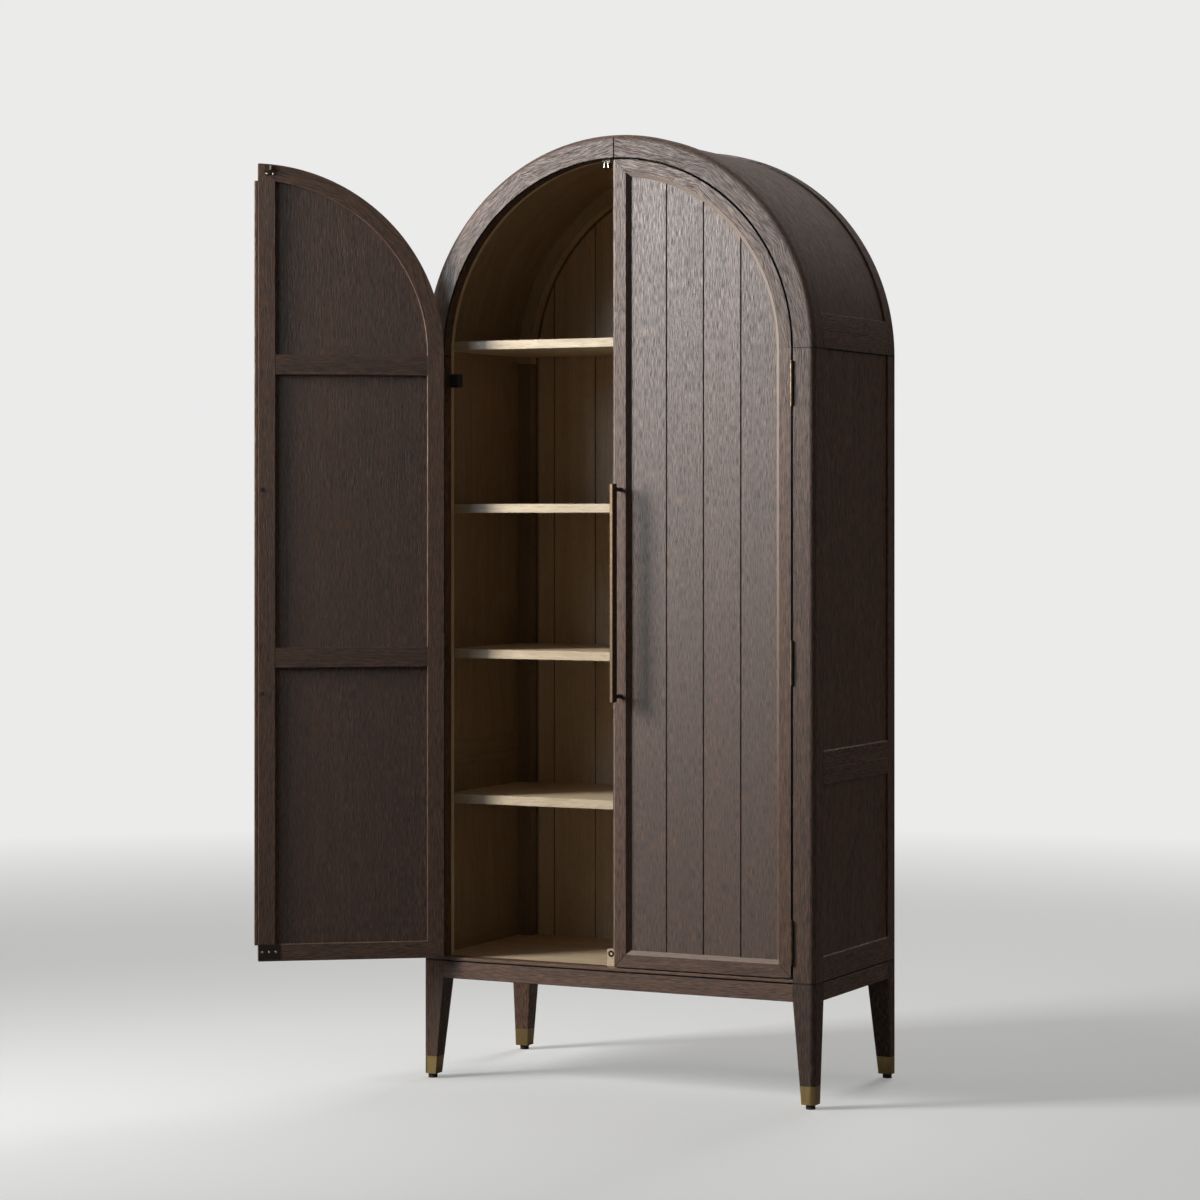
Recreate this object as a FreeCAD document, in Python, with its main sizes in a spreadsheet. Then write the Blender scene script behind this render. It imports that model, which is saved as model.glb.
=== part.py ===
import FreeCAD, Part
import math
import os
from collections import namedtuple
from types import SimpleNamespace

import Sketcher

V = FreeCAD.Vector
UP = V(0, 0, 1)
ACROSS = V(1, 0, 0)
BACK = V(0, 1, 0)
LEFT, RIGHT = -1, 1
FRONT, REAR = -1, 1
SIDE_NAMES = {LEFT: "left", RIGHT: "right"}
END_NAMES = {FRONT: "front", REAR: "rear"}

# An arched two-door cabinet on tapered legs, in millimetres.
# X runs to the right, Y to the back and Z up. Every outline below is drawn in
# the cabinet's own coordinates: X and Y from its middle, Z from the floor.
SIZES = {
    # The whole cabinet
    "width": 1016.0,
    "depth": 508.0,
    "height": 2240.0,
    # Posts, legs and arch rings share one square section with a rounded outer corner
    "post": 54.0,
    "post_round": 13.0,
    "ease": 1.0,
    # Base: legs that taper on their two inner faces into a metal ferrule and a glide
    "carcass_low": 285.0,
    "toe": 33.2,
    "ferrule_height": 42.0,
    "ferrule_wall": 1.5,
    "glide_height": 11.0,
    "glide_radius": 11.0,
    "stem_radius": 4.0,
    "stem_length": 24.0,
    "stem_play": 0.1,
    "apron_height": 40.0,
    "apron_gap": 2.0,
    "block_leg": 60.0,
    "block_height": 24.0,
    # Boards, rails and the joints between them
    "board": 18.0,
    "tenon": 10.0,
    "tenon_cheek": 4.0,
    "tenon_inset": 10.0,
    "rebate": 8.0,
    "panel_play": 0.5,
    "panel_recess": 5.0,
    "rail_bevel": 3.0,
    "bottom_rail": 59.0,
    "mid_rail": 40.5,
    "mid_rail_height": 773.0,
    "deck_rise": 8.0,
    # Arch unit
    "crown_seam": 1.5,
    "arch_rail_angle": 4.63,
    "foot_stub": 18.0,
    "foot_stub_height": 30.0,
    # Back of grooved boards
    "back_thick": 9.0,
    "back_inset": 16.0,
    "back_board": 115.0,
    "vee_width": 4.0,
    "vee_depth": 3.0,
    # Doors: mitred frames round a grooved panel
    "door_thick": 28.0,
    "door_gap": 3.3,
    "door_gap_low": 3.0,
    "stile": 40.0,
    "stile_bevel": 9.5,
    "stile_bevel_depth": 9.0,
    "mitre_seam": 0.6,
    "panel_depth": 11.0,
    "panel_thick": 7.0,
    "door_board": 94.3,
    "cross_rail": 47.0,
    "cross_rail_drop": 24.0,
    "rest_angle": 144.0,
    # Meeting edge: the left door carries a front strip, the right door a rear one
    "right_edge": 1.0,
    "meeting_gap": 10.0,
    "front_strip": 8.0,
    "rear_strip": 9.5,
    "strip_rise": 36.5,
    "strip_play": 0.25,
    "strip_side_play": 1.5,
    # Butt hinges let into the posts and the door edges
    "axis_proud": 3.0,
    "hinge_length": 100.0,
    "hinge_rise": 82.0,
    "hinge_drop": 80.0,
    "leaf_thick": 1.5,
    "leaf_depth": 21.9,
    "leaf_start": 4.1,
    "knuckle_radius": 4.0,
    "knuckle_gap": 0.25,
    "pin_radius": 2.5,
    "pin_play": 0.05,
    "pin_cap_radius": 3.1,
    "pin_cap": 1.5,
    # Handles: a slim bar on two standoffs, screwed from behind
    "handle_place": 18.0,
    "handle_width": 8.0,
    "handle_depth": 24.0,
    "handle_reach": 50.0,
    "handle_length": 508.0,
    "handle_height": 1170.0,
    "standoff_radius": 5.0,
    "standoff_pitch": 482.0,
    "screw_radius": 2.0,
    "screw_play": 0.1,
    "screw_bite": 10.0,
    "screw_head_radius": 4.0,
    "screw_head": 2.2,
    # Top catches: a spear on the door goes between two sprung prongs
    "catch_place": 36.0,
    "catch_behind": 4.0,
    "catch_depth": 22.0,
    "catch_plate": 3.0,
    "catch_plate_half": 11.0,
    "prong_gap": 8.0,
    "prong_thick": 1.4,
    "prong_reach": 13.0,
    "prong_inset": 1.5,
    "prong_tip": 4.0,
    "prong_flare": 1.5,
    "strike_drop": 2.1,
    "strike_side": 24.0,
    "strike_thick": 1.5,
    "spear_thick": 1.6,
    "spear_head": 3.4,
    "spear_head_length": 3.0,
    "spear_length": 14.0,
    "spear_height": 9.0,
    "spear_below_top": 2.0,
    # Magnet catches on the stop block
    "plate_start": 9.0,
    "plate_width": 51.0,
    "plate_rise": 4.0,
    "plate_height": 36.0,
    "plate_thick": 1.0,
    "magnet_gap": 0.5,
    "magnet_place": 20.5,
    "magnet_rise": 29.0,
    "magnet_radius": 8.0,
    "magnet_core_radius": 3.4,
    "magnet_length": 10.0,
    "magnet_floor": 2.0,
    "stop_width": 62.0,
    "stop_depth": 20.0,
    "stop_height": 39.5,
    # Connector knobs that draw the arch unit onto the posts
    "knob_reach": 24.0,
    "knob_depth": 24.0,
    "knob_height": 32.0,
    "knob_drop": 74.0,
    "knob_round": 5.0,
    "knob_bolt_radius": 4.0,
    "knob_bolt": 20.0,
    # Shelves
    "shelf_thick": 21.5,
    "shelf_setback": 59.0,
    "shelf_play": 1.0,
    "fixed_shelf_rise": 16.0,
    "high_shelf_drop": 391.5,
    "low_shelf_rise": 364.0,
    "shelf_pin_radius": 3.0,
    "shelf_pin_depth": 9.0,
    "shelf_pin_reach": 10.0,
    "shelf_pin_place": 150.0,
    # One overrun for every cut that leaves the solid
    "overrun": 5.0,
}

KNUCKLE_COUNT = 5
QUARTER_TURN = 90
HALF_TURN = 180

# Share of the width within which two measures agree, and the shares along an
# edge at which it is looked at
CLOSE_SHARE = 1e-6
EDGE_SHARES = (0, 0.5, 1)


class Size:
    """A number that also carries the sheet expression behind it."""

    def __init__(self, value, text):
        self.value = float(value)
        self.text = text

    def joined(self, sign, other, value):
        return Size(value, "(%s %s %s)" % (self.text, sign, other.text))

    def __add__(self, other):
        other = as_size(other)
        return self.joined("+", other, self.value + other.value)

    def __sub__(self, other):
        other = as_size(other)
        return self.joined("-", other, self.value - other.value)

    def __mul__(self, other):
        other = as_size(other)
        return self.joined("*", other, self.value * other.value)

    def __truediv__(self, other):
        other = as_size(other)
        return self.joined("/", other, self.value / other.value)

    def __radd__(self, other):
        return as_size(other) + self

    def __rsub__(self, other):
        return as_size(other) - self

    def __rmul__(self, other):
        return as_size(other) * self

    def __neg__(self):
        return self * -1


def as_size(thing):
    """A size as it is, or a plain count as a size."""
    return thing if isinstance(thing, Size) else Size(thing, repr(thing))


def chord(radius, offset):
    """Height of a circle above its middle at a distance to one side."""
    rise = radius * radius - offset * offset
    return Size(math.sqrt(rise.value), "sqrt(%s)" % rise.text)


doc = FreeCAD.newDocument("ArchedCabinet")
sheet = doc.addObject("Spreadsheet::Sheet", "Sizes")


def fill_sheet():
    """Writes each size into the sheet and hands the sizes back by name."""
    known = {}
    table = dict(SIZES, origin_x=0.0, origin_y=0.0)
    for row, (name, value) in enumerate(table.items(), 1):
        sheet.set("A%d" % row, name)
        sheet.set("B%d" % row, str(value))
        sheet.setAlias("B%d" % row, name)
        known[name] = Size(value, "Sizes." + name)
    doc.recompute()
    return SimpleNamespace(**known)


size = fill_sheet()

# Places that many pieces share
ZERO = size.width * 0
half_width = size.width / 2
half_depth = size.depth / 2
front = -half_depth
spring = size.height - half_width
inner = half_width - size.post
reach = half_depth - size.post
wall = half_width - size.board
panel_face = half_width - size.panel_recess
board_face = half_depth - size.board
groove_reach = reach + size.rebate
apron_top = size.carcass_low - size.apron_gap
apron_low = apron_top - size.apron_height
ferrule_top = size.glide_height + size.ferrule_height
ferrule_floor = size.glide_height + size.ferrule_wall
stem_top = size.glide_height + size.stem_length
deck_top = size.carcass_low + size.deck_rise
deck_low = deck_top - size.board
bottom_rail_top = size.carcass_low + size.bottom_rail
mid_rails_low = size.mid_rail_height - size.mid_rail
mid_rails_top = size.mid_rail_height + size.mid_rail
back_rear = half_depth - size.back_inset
back_front = back_rear - size.back_thick
door_radius = inner - size.door_gap
door_low = deck_top + size.door_gap_low
door_inner_radius = door_radius - size.stile
door_inner_low = door_low + size.stile
door_rear = front + size.door_thick
panel_front = front + size.panel_depth
panel_rear = panel_front + size.panel_thick
axis_x = inner - size.door_gap / 2
axis_y = front - size.axis_proud
leaf_front = axis_y + size.leaf_start
leaf_rear = leaf_front + size.leaf_depth
hinge_low = door_low + size.hinge_rise
hinge_high = spring - size.hinge_drop
hinge_heights = (hinge_low, (hinge_low + hinge_high) / 2, hinge_high)
cross_rail_heights = ((door_low + spring) / 2, spring - size.cross_rail_drop)
strip_low = door_low + size.strip_rise
front_strip_top = spring + door_inner_radius
rear_strip_top = spring + chord(door_radius, size.rear_strip)
meeting_edges = {LEFT: size.right_edge - size.meeting_gap, RIGHT: size.right_edge}
bar_rear = front - size.handle_reach + size.handle_depth
standoff_heights = tuple(size.handle_height + sign * size.standoff_pitch / 2 for sign in (-1, 1))
catch_front = door_rear + size.catch_behind
stop_front = door_rear + size.plate_thick + size.magnet_gap
strike_top = spring + chord(door_radius, size.catch_place + size.strike_side / 2) - size.strike_drop
plate_low = door_low + size.plate_rise
magnet_height = deck_top + size.magnet_rise
knob_low = spring - size.knob_drop
knob_top = knob_low + size.knob_height
knob_y = -reach - size.knob_depth / 2
knob_z = knob_low + size.knob_height / 2
shelf_front = size.shelf_setback - half_depth
shelf_rear = back_front - size.shelf_play
fixed_shelf_low = spring + size.fixed_shelf_rise
low_shelf = deck_top + size.low_shelf_rise
high_shelf = fixed_shelf_low - size.high_shelf_drop
shelf_heights = (low_shelf, (low_shelf + high_shelf) / 2, high_shelf)
side_rail_spans = (
    (size.carcass_low, bottom_rail_top),
    (mid_rails_low, size.mid_rail_height),
    (size.mid_rail_height, mid_rails_top),
)
side_panel_spans = (
    (bottom_rail_top - size.rebate, mid_rails_low + size.rebate),
    (mid_rails_top - size.rebate, spring),
)

Home = namedtuple("Home", "x y z")
FLOOR = Home(ZERO, ZERO, ZERO)
ARCH = Home(ZERO, ZERO, spring)
HINGES = {side: Home(side * axis_x, axis_y, ZERO) for side in (LEFT, RIGHT)}
DOOR_TURNS = {LEFT: -size.rest_angle, RIGHT: None}
ARCH_MIDDLE = (ZERO, spring)
HOMES = {}
PARTS = {}

# A corner of an outline. Its held letters name the coordinates that are set,
# and its centre and radius belong to an arc that leaves it.
Corner = namedtuple("Corner", "x y held centre radius", defaults=("xy", None, None))


def bind(thing, name, value):
    """Ties one property to the sheet."""
    thing.setExpression(name, value.text)


def place(thing, label, home, turn_axis=UP, turn=None):
    """Names a finished sub-part and puts it at its home in the whole part."""
    thing.Label = label
    if turn is not None:
        thing.Placement = FreeCAD.Placement(V(), FreeCAD.Rotation(turn_axis, turn.value))
    bind(thing, "Placement.Base.x", size.origin_x + home.x)
    bind(thing, "Placement.Base.y", size.origin_y + home.y)
    bind(thing, "Placement.Base.z", home.z)
    PARTS[label] = thing


def new_body(home=FLOOR):
    """An empty body whose sketches are drawn in the cabinet's coordinates."""
    body = doc.addObject("PartDesign::Body", "Body")
    HOMES[body.Name] = home
    return body


def arc_between(start, end, centre, radius):
    """The shorter arc between two places, and whether it runs from start to end."""
    first = math.atan2(start.y - centre.y, start.x - centre.x)
    last = math.atan2(end.y - centre.y, end.x - centre.x)
    forward = (last - first) % (2 * math.pi) <= math.pi
    circle = Part.Circle(centre, UP, radius)
    if forward:
        return Part.ArcOfCircle(circle, first, last), True
    return Part.ArcOfCircle(circle, last, first), False


def hold(drawn, kind, number, end, value):
    """Holds one coordinate of a sketch point to the sheet."""
    held = drawn.addConstraint(Sketcher.Constraint(kind, -1, 1, number, end, value.value))
    bind(drawn, "Constraints[%d]" % held, value)


def hold_radius(drawn, number, radius):
    """Holds the radius of a sketched circle or arc to the sheet."""
    held = drawn.addConstraint(Sketcher.Constraint("Radius", number, radius.value))
    bind(drawn, "Constraints[%d]" % held, radius)


def empty_sketch(body, plane, level):
    """A sketch across X, Y or Z at a level, with its origin on the cabinet's own."""
    home = HOMES[body.Name]
    drawn = body.newObject("Sketcher::SketchObject", "Outline")
    support = [o for o in body.Origin.OriginFeatures if o.Role == plane + "_Plane"]
    drawn.AttachmentSupport = [(support[0], "")]
    drawn.MapMode = "FlatFace"
    offset = {
        "XY": (-home.x, -home.y, level - home.z),
        "XZ": (-home.x, -home.z, home.y - level),
        "YZ": (-home.y, -home.z, level - home.x),
    }[plane]
    for letter, amount in zip("xyz", offset):
        bind(drawn, "AttachmentOffset.Base." + letter, amount)
    return drawn


def sketch(body, plane, level, outline):
    """A closed outline of straight runs and arcs."""
    drawn = empty_sketch(body, plane, level)
    corners = [c if isinstance(c, Corner) else Corner(*c) for c in outline]
    places = [V(c.x.value, c.y.value, 0) for c in corners]
    ends = []
    for number, corner in enumerate(corners):
        start = places[number]
        end = places[(number + 1) % len(corners)]
        if corner.centre is None:
            drawn.addGeometry(Part.LineSegment(start, end), False)
            ends.append((1, 2))
            continue
        middle = V(corner.centre[0].value, corner.centre[1].value, 0)
        arc, forward = arc_between(start, end, middle, corner.radius.value)
        drawn.addGeometry(arc, False)
        ends.append((1, 2) if forward else (2, 1))
    for number in range(len(corners)):
        after = (number + 1) % len(corners)
        joint = Sketcher.Constraint("Coincident", number, ends[number][1], after, ends[after][0])
        drawn.addConstraint(joint)
    for number, corner in enumerate(corners):
        if "x" in corner.held:
            hold(drawn, "DistanceX", number, ends[number][0], corner.x)
        if "y" in corner.held:
            hold(drawn, "DistanceY", number, ends[number][0], corner.y)
        if corner.centre is not None:
            hold(drawn, "DistanceX", number, 3, corner.centre[0])
            hold(drawn, "DistanceY", number, 3, corner.centre[1])
            hold_radius(drawn, number, corner.radius)
    return drawn


def circle(body, plane, level, x, y, radius):
    """A sketched circle."""
    drawn = empty_sketch(body, plane, level)
    drawn.addGeometry(Part.Circle(V(x.value, y.value, 0), UP, radius.value), False)
    hold(drawn, "DistanceX", 0, 3, x)
    hold(drawn, "DistanceY", 0, 3, y)
    hold_radius(drawn, 0, radius)
    return drawn


def ordered(one, other):
    """Two places with the lower one first."""
    return (one, other) if one.value <= other.value else (other, one)


def rectangle(x_low, x_high, y_low, y_high):
    """Four corners of an upright rectangle."""
    return [(x_low, y_low), (x_high, y_low), (x_high, y_high), (x_low, y_high)]


def eased(x_low, x_high, y_low, y_high):
    """A rectangle with its four corners cut at 45 degrees."""
    ease = size.ease
    return [
        (x_low + ease, y_low),
        (x_high - ease, y_low),
        (x_high, y_low + ease),
        (x_high, y_high - ease),
        (x_high - ease, y_high),
        (x_low + ease, y_high),
        (x_low, y_high - ease),
        (x_low, y_low + ease),
    ]


def drawn_out(body, kind, plane, low, high, drawn):
    """A pad or pocket of a sketch between two levels."""
    feature = body.newObject("PartDesign::" + kind, kind)
    feature.Profile = drawn
    feature.Reversed = (plane == "XZ") == (kind == "Pad")
    bind(feature, "Length", high - low)


def prism(body, plane, low, high, outline):
    """Adds an outline drawn out between two levels."""
    drawn_out(body, "Pad", plane, low, high, sketch(body, plane, low, outline))


def prism_cut(body, plane, low, high, outline):
    """Cuts an outline drawn out between two levels."""
    drawn_out(body, "Pocket", plane, low, high, sketch(body, plane, low, outline))


def round_prism(body, plane, low, high, x, y, radius):
    """Adds a round bar between two levels."""
    drawn_out(body, "Pad", plane, low, high, circle(body, plane, low, x, y, radius))


def round_cut(body, plane, low, high, x, y, radius):
    """Cuts a round hole between two levels."""
    drawn_out(body, "Pocket", plane, low, high, circle(body, plane, low, x, y, radius))


def vee_cuts(body, centres, face, low, high):
    """Upright V grooves between the boards of a panel, cut back from its face."""
    half = size.vee_width / 2
    for x in centres:
        vee = [(x - half, face), (x + half, face), (x, face + size.vee_depth)]
        prism_cut(body, "XY", low, high, vee)


def ring(body, kind, outline, side, sweep):
    """Turns a section at the spring line about the arch's own axis."""
    drawn = sketch(body, "XY", spring, outline)
    turned = body.newObject("PartDesign::" + kind, kind)
    turned.Profile = drawn
    turned.ReferenceAxis = (drawn, ["V_Axis"])
    turned.Reversed = side == RIGHT
    if isinstance(sweep, Size):
        bind(turned, "Angle", sweep)
    else:
        turned.Angle = sweep


def taper(body, kind, low, low_outline, high, high_outline):
    """Adds or cuts a straight taper between two outlines."""
    first = sketch(body, "XY", low, low_outline)
    second = sketch(body, "XY", high, high_outline)
    tapered = body.newObject("PartDesign::" + kind, "Taper")
    tapered.Profile = first
    tapered.Sections = [(second, [""])]
    tapered.Ruled = True


def near(one, other):
    """Whether two measures agree closely."""
    return abs(one - other) < size.width.value * CLOSE_SHARE


def soften(body, kind, amount, test):
    """Rounds or bevels the edges whose ends and middle all pass a test."""
    doc.recompute()
    shift = V(*[distance.value for distance in HOMES[body.Name]])
    names = []
    for number, edge in enumerate(body.Tip.Shape.Edges, 1):
        span = edge.LastParameter - edge.FirstParameter
        points = [edge.valueAt(edge.FirstParameter + share * span) + shift for share in EDGE_SHARES]
        if all(test(p) for p in points):
            names.append("Edge%d" % number)
    base = body.Tip
    softened = body.newObject("PartDesign::" + kind, kind)
    softened.Base = (base, names)
    bind(softened, "Radius" if kind == "Fillet" else "Size", amount)


def ease_ends(body, height):
    """Bevels the rim of an end face, so that the seam there shows as a fine groove."""
    soften(body, "Chamfer", size.ease / 2, lambda p: near(p.z, height.value))


def box(home, x_span, y_span, z_span):
    """A plain block between three pairs of places."""
    block = doc.addObject("Part::Box", "Block")
    spans = [ordered(*x_span), ordered(*y_span), ordered(*z_span)]
    for name, span in zip(("Length", "Width", "Height"), spans):
        bind(block, name, span[1] - span[0])
    for letter, span, start in zip("xyz", spans, home):
        bind(block, "Placement.Base." + letter, span[0] - start)
    return block


def rod(home, axis, centre, span, radius):
    """A round bar along one axis between two places."""
    bar = doc.addObject("Part::Cylinder", "Rod")
    low, high = ordered(*span)
    bind(bar, "Radius", radius)
    bind(bar, "Height", high - low)
    bar.Placement = FreeCAD.Placement(V(), FreeCAD.Rotation(UP, axis))
    corners = {
        (1, 0, 0): (low, centre[0], centre[1]),
        (0, 1, 0): (centre[0], low, centre[1]),
        (0, 0, 1): (centre[0], centre[1], low),
    }
    for letter, corner, start in zip("xyz", corners[tuple(axis)], home):
        bind(bar, "Placement.Base." + letter, corner - start)
    return bar


def fuse(pieces):
    """One solid from several."""
    whole = doc.addObject("Part::MultiFuse", "Fuse")
    whole.Shapes = list(pieces)
    return whole


def cut(base, tool):
    """A solid less another."""
    less = doc.addObject("Part::Cut", "Cut")
    less.Base = base
    less.Tool = tool
    return less


def group(label, members, home=FLOOR, turn=None):
    """Like pieces that share one node as separate solids."""
    gathered = doc.addObject("Part::Compound", "Group")
    gathered.Links = list(members)
    place(gathered, label, home, turn=turn)


def mirrored(side, low, high):
    """A span across X on one side of the cabinet."""
    return ordered(side * low, side * high)


def corners_of_base():
    """The four corners, as signs of X and Y."""
    return [(side, end) for end in (FRONT, REAR) for side in (LEFT, RIGHT)]


# Base


def leg_width(level):
    """Side of the leg's square section at a height below the aprons."""
    rise = (level - size.glide_height) / (apron_low - size.glide_height)
    return size.toe + (size.post - size.toe) * rise


def corner_square(side, end, width, inset):
    """A square on the leg's plumb outer faces, with a round outer corner and three eased ones."""
    ease = size.ease
    curve = size.post_round - inset
    outer_x, outer_y = side * (half_width - inset), end * (half_depth - inset)
    inner_x = side * (half_width - width + inset)
    inner_y = end * (half_depth - width + inset)
    curve_x, curve_y = outer_x - side * curve, outer_y - end * curve
    return [
        (inner_x + side * ease, inner_y),
        (outer_x - side * ease, inner_y),
        (outer_x, inner_y + end * ease),
        Corner(outer_x, curve_y, "y", (curve_x, curve_y), curve),
        Corner(curve_x, outer_y, "x"),
        (inner_x + side * ease, outer_y),
        (inner_x, outer_y - end * ease),
        (inner_x, inner_y + end * ease),
    ]


def glide_centre(side, end):
    """Middle of a leg's toe."""
    return side * (half_width - size.toe / 2), end * (half_depth - size.toe / 2)


def long_tenon(side, end):
    """Section, from above, of a long apron's tenon in a leg."""
    xs = mirrored(side, inner, inner + size.tenon)
    return rectangle(*xs, *mirrored(end, board_face + size.tenon_cheek, half_depth - size.tenon_cheek))


def side_tenon(side, end):
    """Section, from above, of a side rail's or side apron's tenon."""
    xs = mirrored(side, wall + size.tenon_cheek, half_width - size.tenon_cheek)
    return rectangle(*xs, *mirrored(end, reach, reach + size.tenon))


def leg(side, end):
    """Square leg with a long taper, a stub for its ferrule and two apron mortises."""
    body = new_body()
    top = corner_square(side, end, leg_width(apron_low), ZERO)
    toe = corner_square(side, end, leg_width(ferrule_top), ZERO)
    prism(body, "XY", apron_low, size.carcass_low, top)
    taper(body, "AdditiveLoft", ferrule_top, toe, apron_low, top)
    ease_ends(body, size.carcass_low)
    stub_top = corner_square(side, end, leg_width(ferrule_top), size.ferrule_wall)
    stub_toe = corner_square(side, end, leg_width(ferrule_floor), size.ferrule_wall)
    taper(body, "AdditiveLoft", ferrule_floor, stub_toe, ferrule_top, stub_top)
    for section in (long_tenon(side, end), side_tenon(side, end)):
        low = apron_low + size.tenon_inset
        prism_cut(body, "XY", low, apron_top - size.tenon_inset, section)
    x, y = glide_centre(side, end)
    round_cut(body, "XY", ferrule_floor, stem_top, x, y, size.stem_radius + size.stem_play)
    place(body, "%s_leg_%s" % (END_NAMES[end], SIDE_NAMES[side]), FLOOR)


def ferrule(side, end):
    """Metal sock round the leg's toe, open at the top, with a hole for the glide."""
    body = new_body()
    low = size.glide_height
    outer_low = corner_square(side, end, leg_width(low), ZERO)
    outer_high = corner_square(side, end, leg_width(ferrule_top), ZERO)
    taper(body, "AdditiveLoft", low, outer_low, ferrule_top, outer_high)
    inner_low = corner_square(side, end, leg_width(ferrule_floor), size.ferrule_wall)
    inner_high = corner_square(side, end, leg_width(ferrule_top), size.ferrule_wall)
    taper(body, "SubtractiveLoft", ferrule_floor, inner_low, ferrule_top, inner_high)
    x, y = glide_centre(side, end)
    round_cut(body, "XY", low, ferrule_floor, x, y, size.stem_radius + size.stem_play)
    return body


def glide(side, end):
    """Round foot with a stem that goes up through the ferrule into the leg."""
    centre = glide_centre(side, end)
    foot = rod(FLOOR, UP, centre, (ZERO, size.glide_height), size.glide_radius)
    stem = rod(FLOOR, UP, centre, (ZERO, stem_top), size.stem_radius)
    return fuse((foot, stem))


def tenoned_board(plane, span, across, heights):
    """A straight board with a stub tenon at both ends."""
    body = new_body()
    low, high = heights
    tongue = (across[0] + size.tenon_cheek, across[1] - size.tenon_cheek)
    tongue_reach = span + size.tenon
    prism(body, plane, -span, span, rectangle(*across, low, high))
    tongue_heights = (low + size.tenon_inset, high - size.tenon_inset)
    prism(body, plane, -tongue_reach, tongue_reach, rectangle(*tongue, *tongue_heights))
    return body


def on_face(coordinate, value, heights):
    """Test for a board's long edges on one face, at the given heights."""
    flat = [height.value for height in heights]
    return lambda p: near(getattr(p, coordinate), value.value) and any(near(p.z, z) for z in flat)


def side_board(side, heights):
    """A board along one side, flush with the posts."""
    return tenoned_board("XZ", reach, mirrored(side, wall, half_width), heights)


def corner_block(side, end):
    """Block glued across a corner of the base, under the deck."""
    body = new_body()
    outline = [
        (side * (inner - size.block_leg), end * board_face),
        (side * inner, end * board_face),
        (side * inner, end * reach),
        (side * wall, end * reach),
        (side * wall, end * (reach - size.block_leg)),
    ]
    prism(body, "XY", deck_low - size.block_height, deck_low, outline)
    return body


def build_base():
    """Four legs in ferrules, joined by aprons and stiffened by blocks."""
    for side, end in corners_of_base():
        leg(side, end)
    group("leg_ferrules", [ferrule(*corner) for corner in corners_of_base()])
    group("leg_glides", [glide(*corner) for corner in corners_of_base()])
    heights = (apron_low, apron_top)
    long_aprons = []
    for end in (FRONT, REAR):
        body = tenoned_board("YZ", inner, mirrored(end, board_face, half_depth), heights)
        soften(body, "Chamfer", size.ease, on_face("y", end * half_depth, heights))
        long_aprons.append(body)
    group("long_aprons", long_aprons)
    side_aprons = []
    for side in (LEFT, RIGHT):
        body = side_board(side, heights)
        soften(body, "Chamfer", size.ease, on_face("x", side * half_width, heights))
        side_aprons.append(body)
    group("side_aprons", side_aprons)
    group("corner_blocks", [corner_block(*corner) for corner in corners_of_base()])


# Lower carcass


def stub_section(side, end):
    """Section of the square stub under an arch foot, in the middle of the post."""
    middle = size.post / 2
    half = size.foot_stub / 2
    xs = mirrored(side, half_width - middle - half, half_width - middle + half)
    ys = mirrored(end, half_depth - middle - half, half_depth - middle + half)
    return rectangle(*xs, *ys)


def post(side, end):
    """Corner post with panel grooves, rail mortises and a socket for the arch."""
    body = new_body()
    prism(body, "XY", size.carcass_low, spring, corner_square(side, end, size.post, ZERO))
    ease_ends(body, size.carcass_low)
    ease_ends(body, spring)
    panel_groove = rectangle(*mirrored(side, wall, panel_face), *mirrored(end, reach, groove_reach))
    for low, high in side_panel_spans:
        prism_cut(body, "XY", low, high, panel_groove)
    for low, high in side_rail_spans:
        mortise = (low + size.tenon_inset, high - size.tenon_inset)
        prism_cut(body, "XY", *mortise, side_tenon(side, end))
    prism_cut(body, "XY", spring - size.foot_stub_height, spring, stub_section(side, end))
    if end == REAR:
        groove = rectangle(*mirrored(side, inner, inner + size.rebate), back_front, back_rear)
        prism_cut(body, "XY", size.carcass_low, spring, groove)
        rail_y = (back_rear + size.tenon_cheek, half_depth - size.tenon_cheek)
        tenon = rectangle(*mirrored(side, inner, inner + size.tenon), *rail_y)
        low = size.carcass_low + size.tenon_inset
        prism_cut(body, "XY", low, bottom_rail_top - size.tenon_inset, tenon)
    else:
        leaf = rectangle(*mirrored(side, inner, inner + size.leaf_thick), front, leaf_rear)
        for height in hinge_heights:
            half = size.hinge_length / 2
            prism_cut(body, "XY", height - half, height + half, leaf)
        bolt = mirrored(side, inner, inner + size.knob_bolt)
        round_cut(body, "YZ", *bolt, knob_y, knob_z, size.knob_bolt_radius + size.stem_play)
    place(body, "%s_post_%s" % (END_NAMES[end], SIDE_NAMES[side]), FLOOR)


def pin_holes(body, side, low, high):
    """Bores a side piece for the shelf pins that meet it between two heights."""
    radius = size.shelf_pin_radius + size.stem_play
    hole = mirrored(side, wall, wall + size.shelf_pin_depth)
    for height in shelf_heights:
        pin_z = height - size.shelf_pin_radius
        if (low - radius).value < pin_z.value < (high + radius).value:
            for pin_y in (-size.shelf_pin_place, size.shelf_pin_place):
                round_cut(body, "YZ", *hole, pin_y, pin_z, radius)


def side_rail(side, heights, panel_edges):
    """Side rail with a rebate inside and a bevel outside along each panel."""
    body = side_board(side, heights)
    plain = [height for height in heights if height not in panel_edges]
    soften(body, "Chamfer", size.rail_bevel, on_face("x", side * half_width, panel_edges))
    if plain:
        soften(body, "Chamfer", size.ease, on_face("x", side * half_width, plain))
    for edge in panel_edges:
        inward = 1 if edge is heights[0] else -1
        rebate = ordered(edge, edge + inward * size.rebate)
        xs = mirrored(side, wall, panel_face)
        prism_cut(body, "XZ", -reach, reach, rectangle(*xs, *rebate))
    pin_holes(body, side, *heights)
    return body


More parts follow.
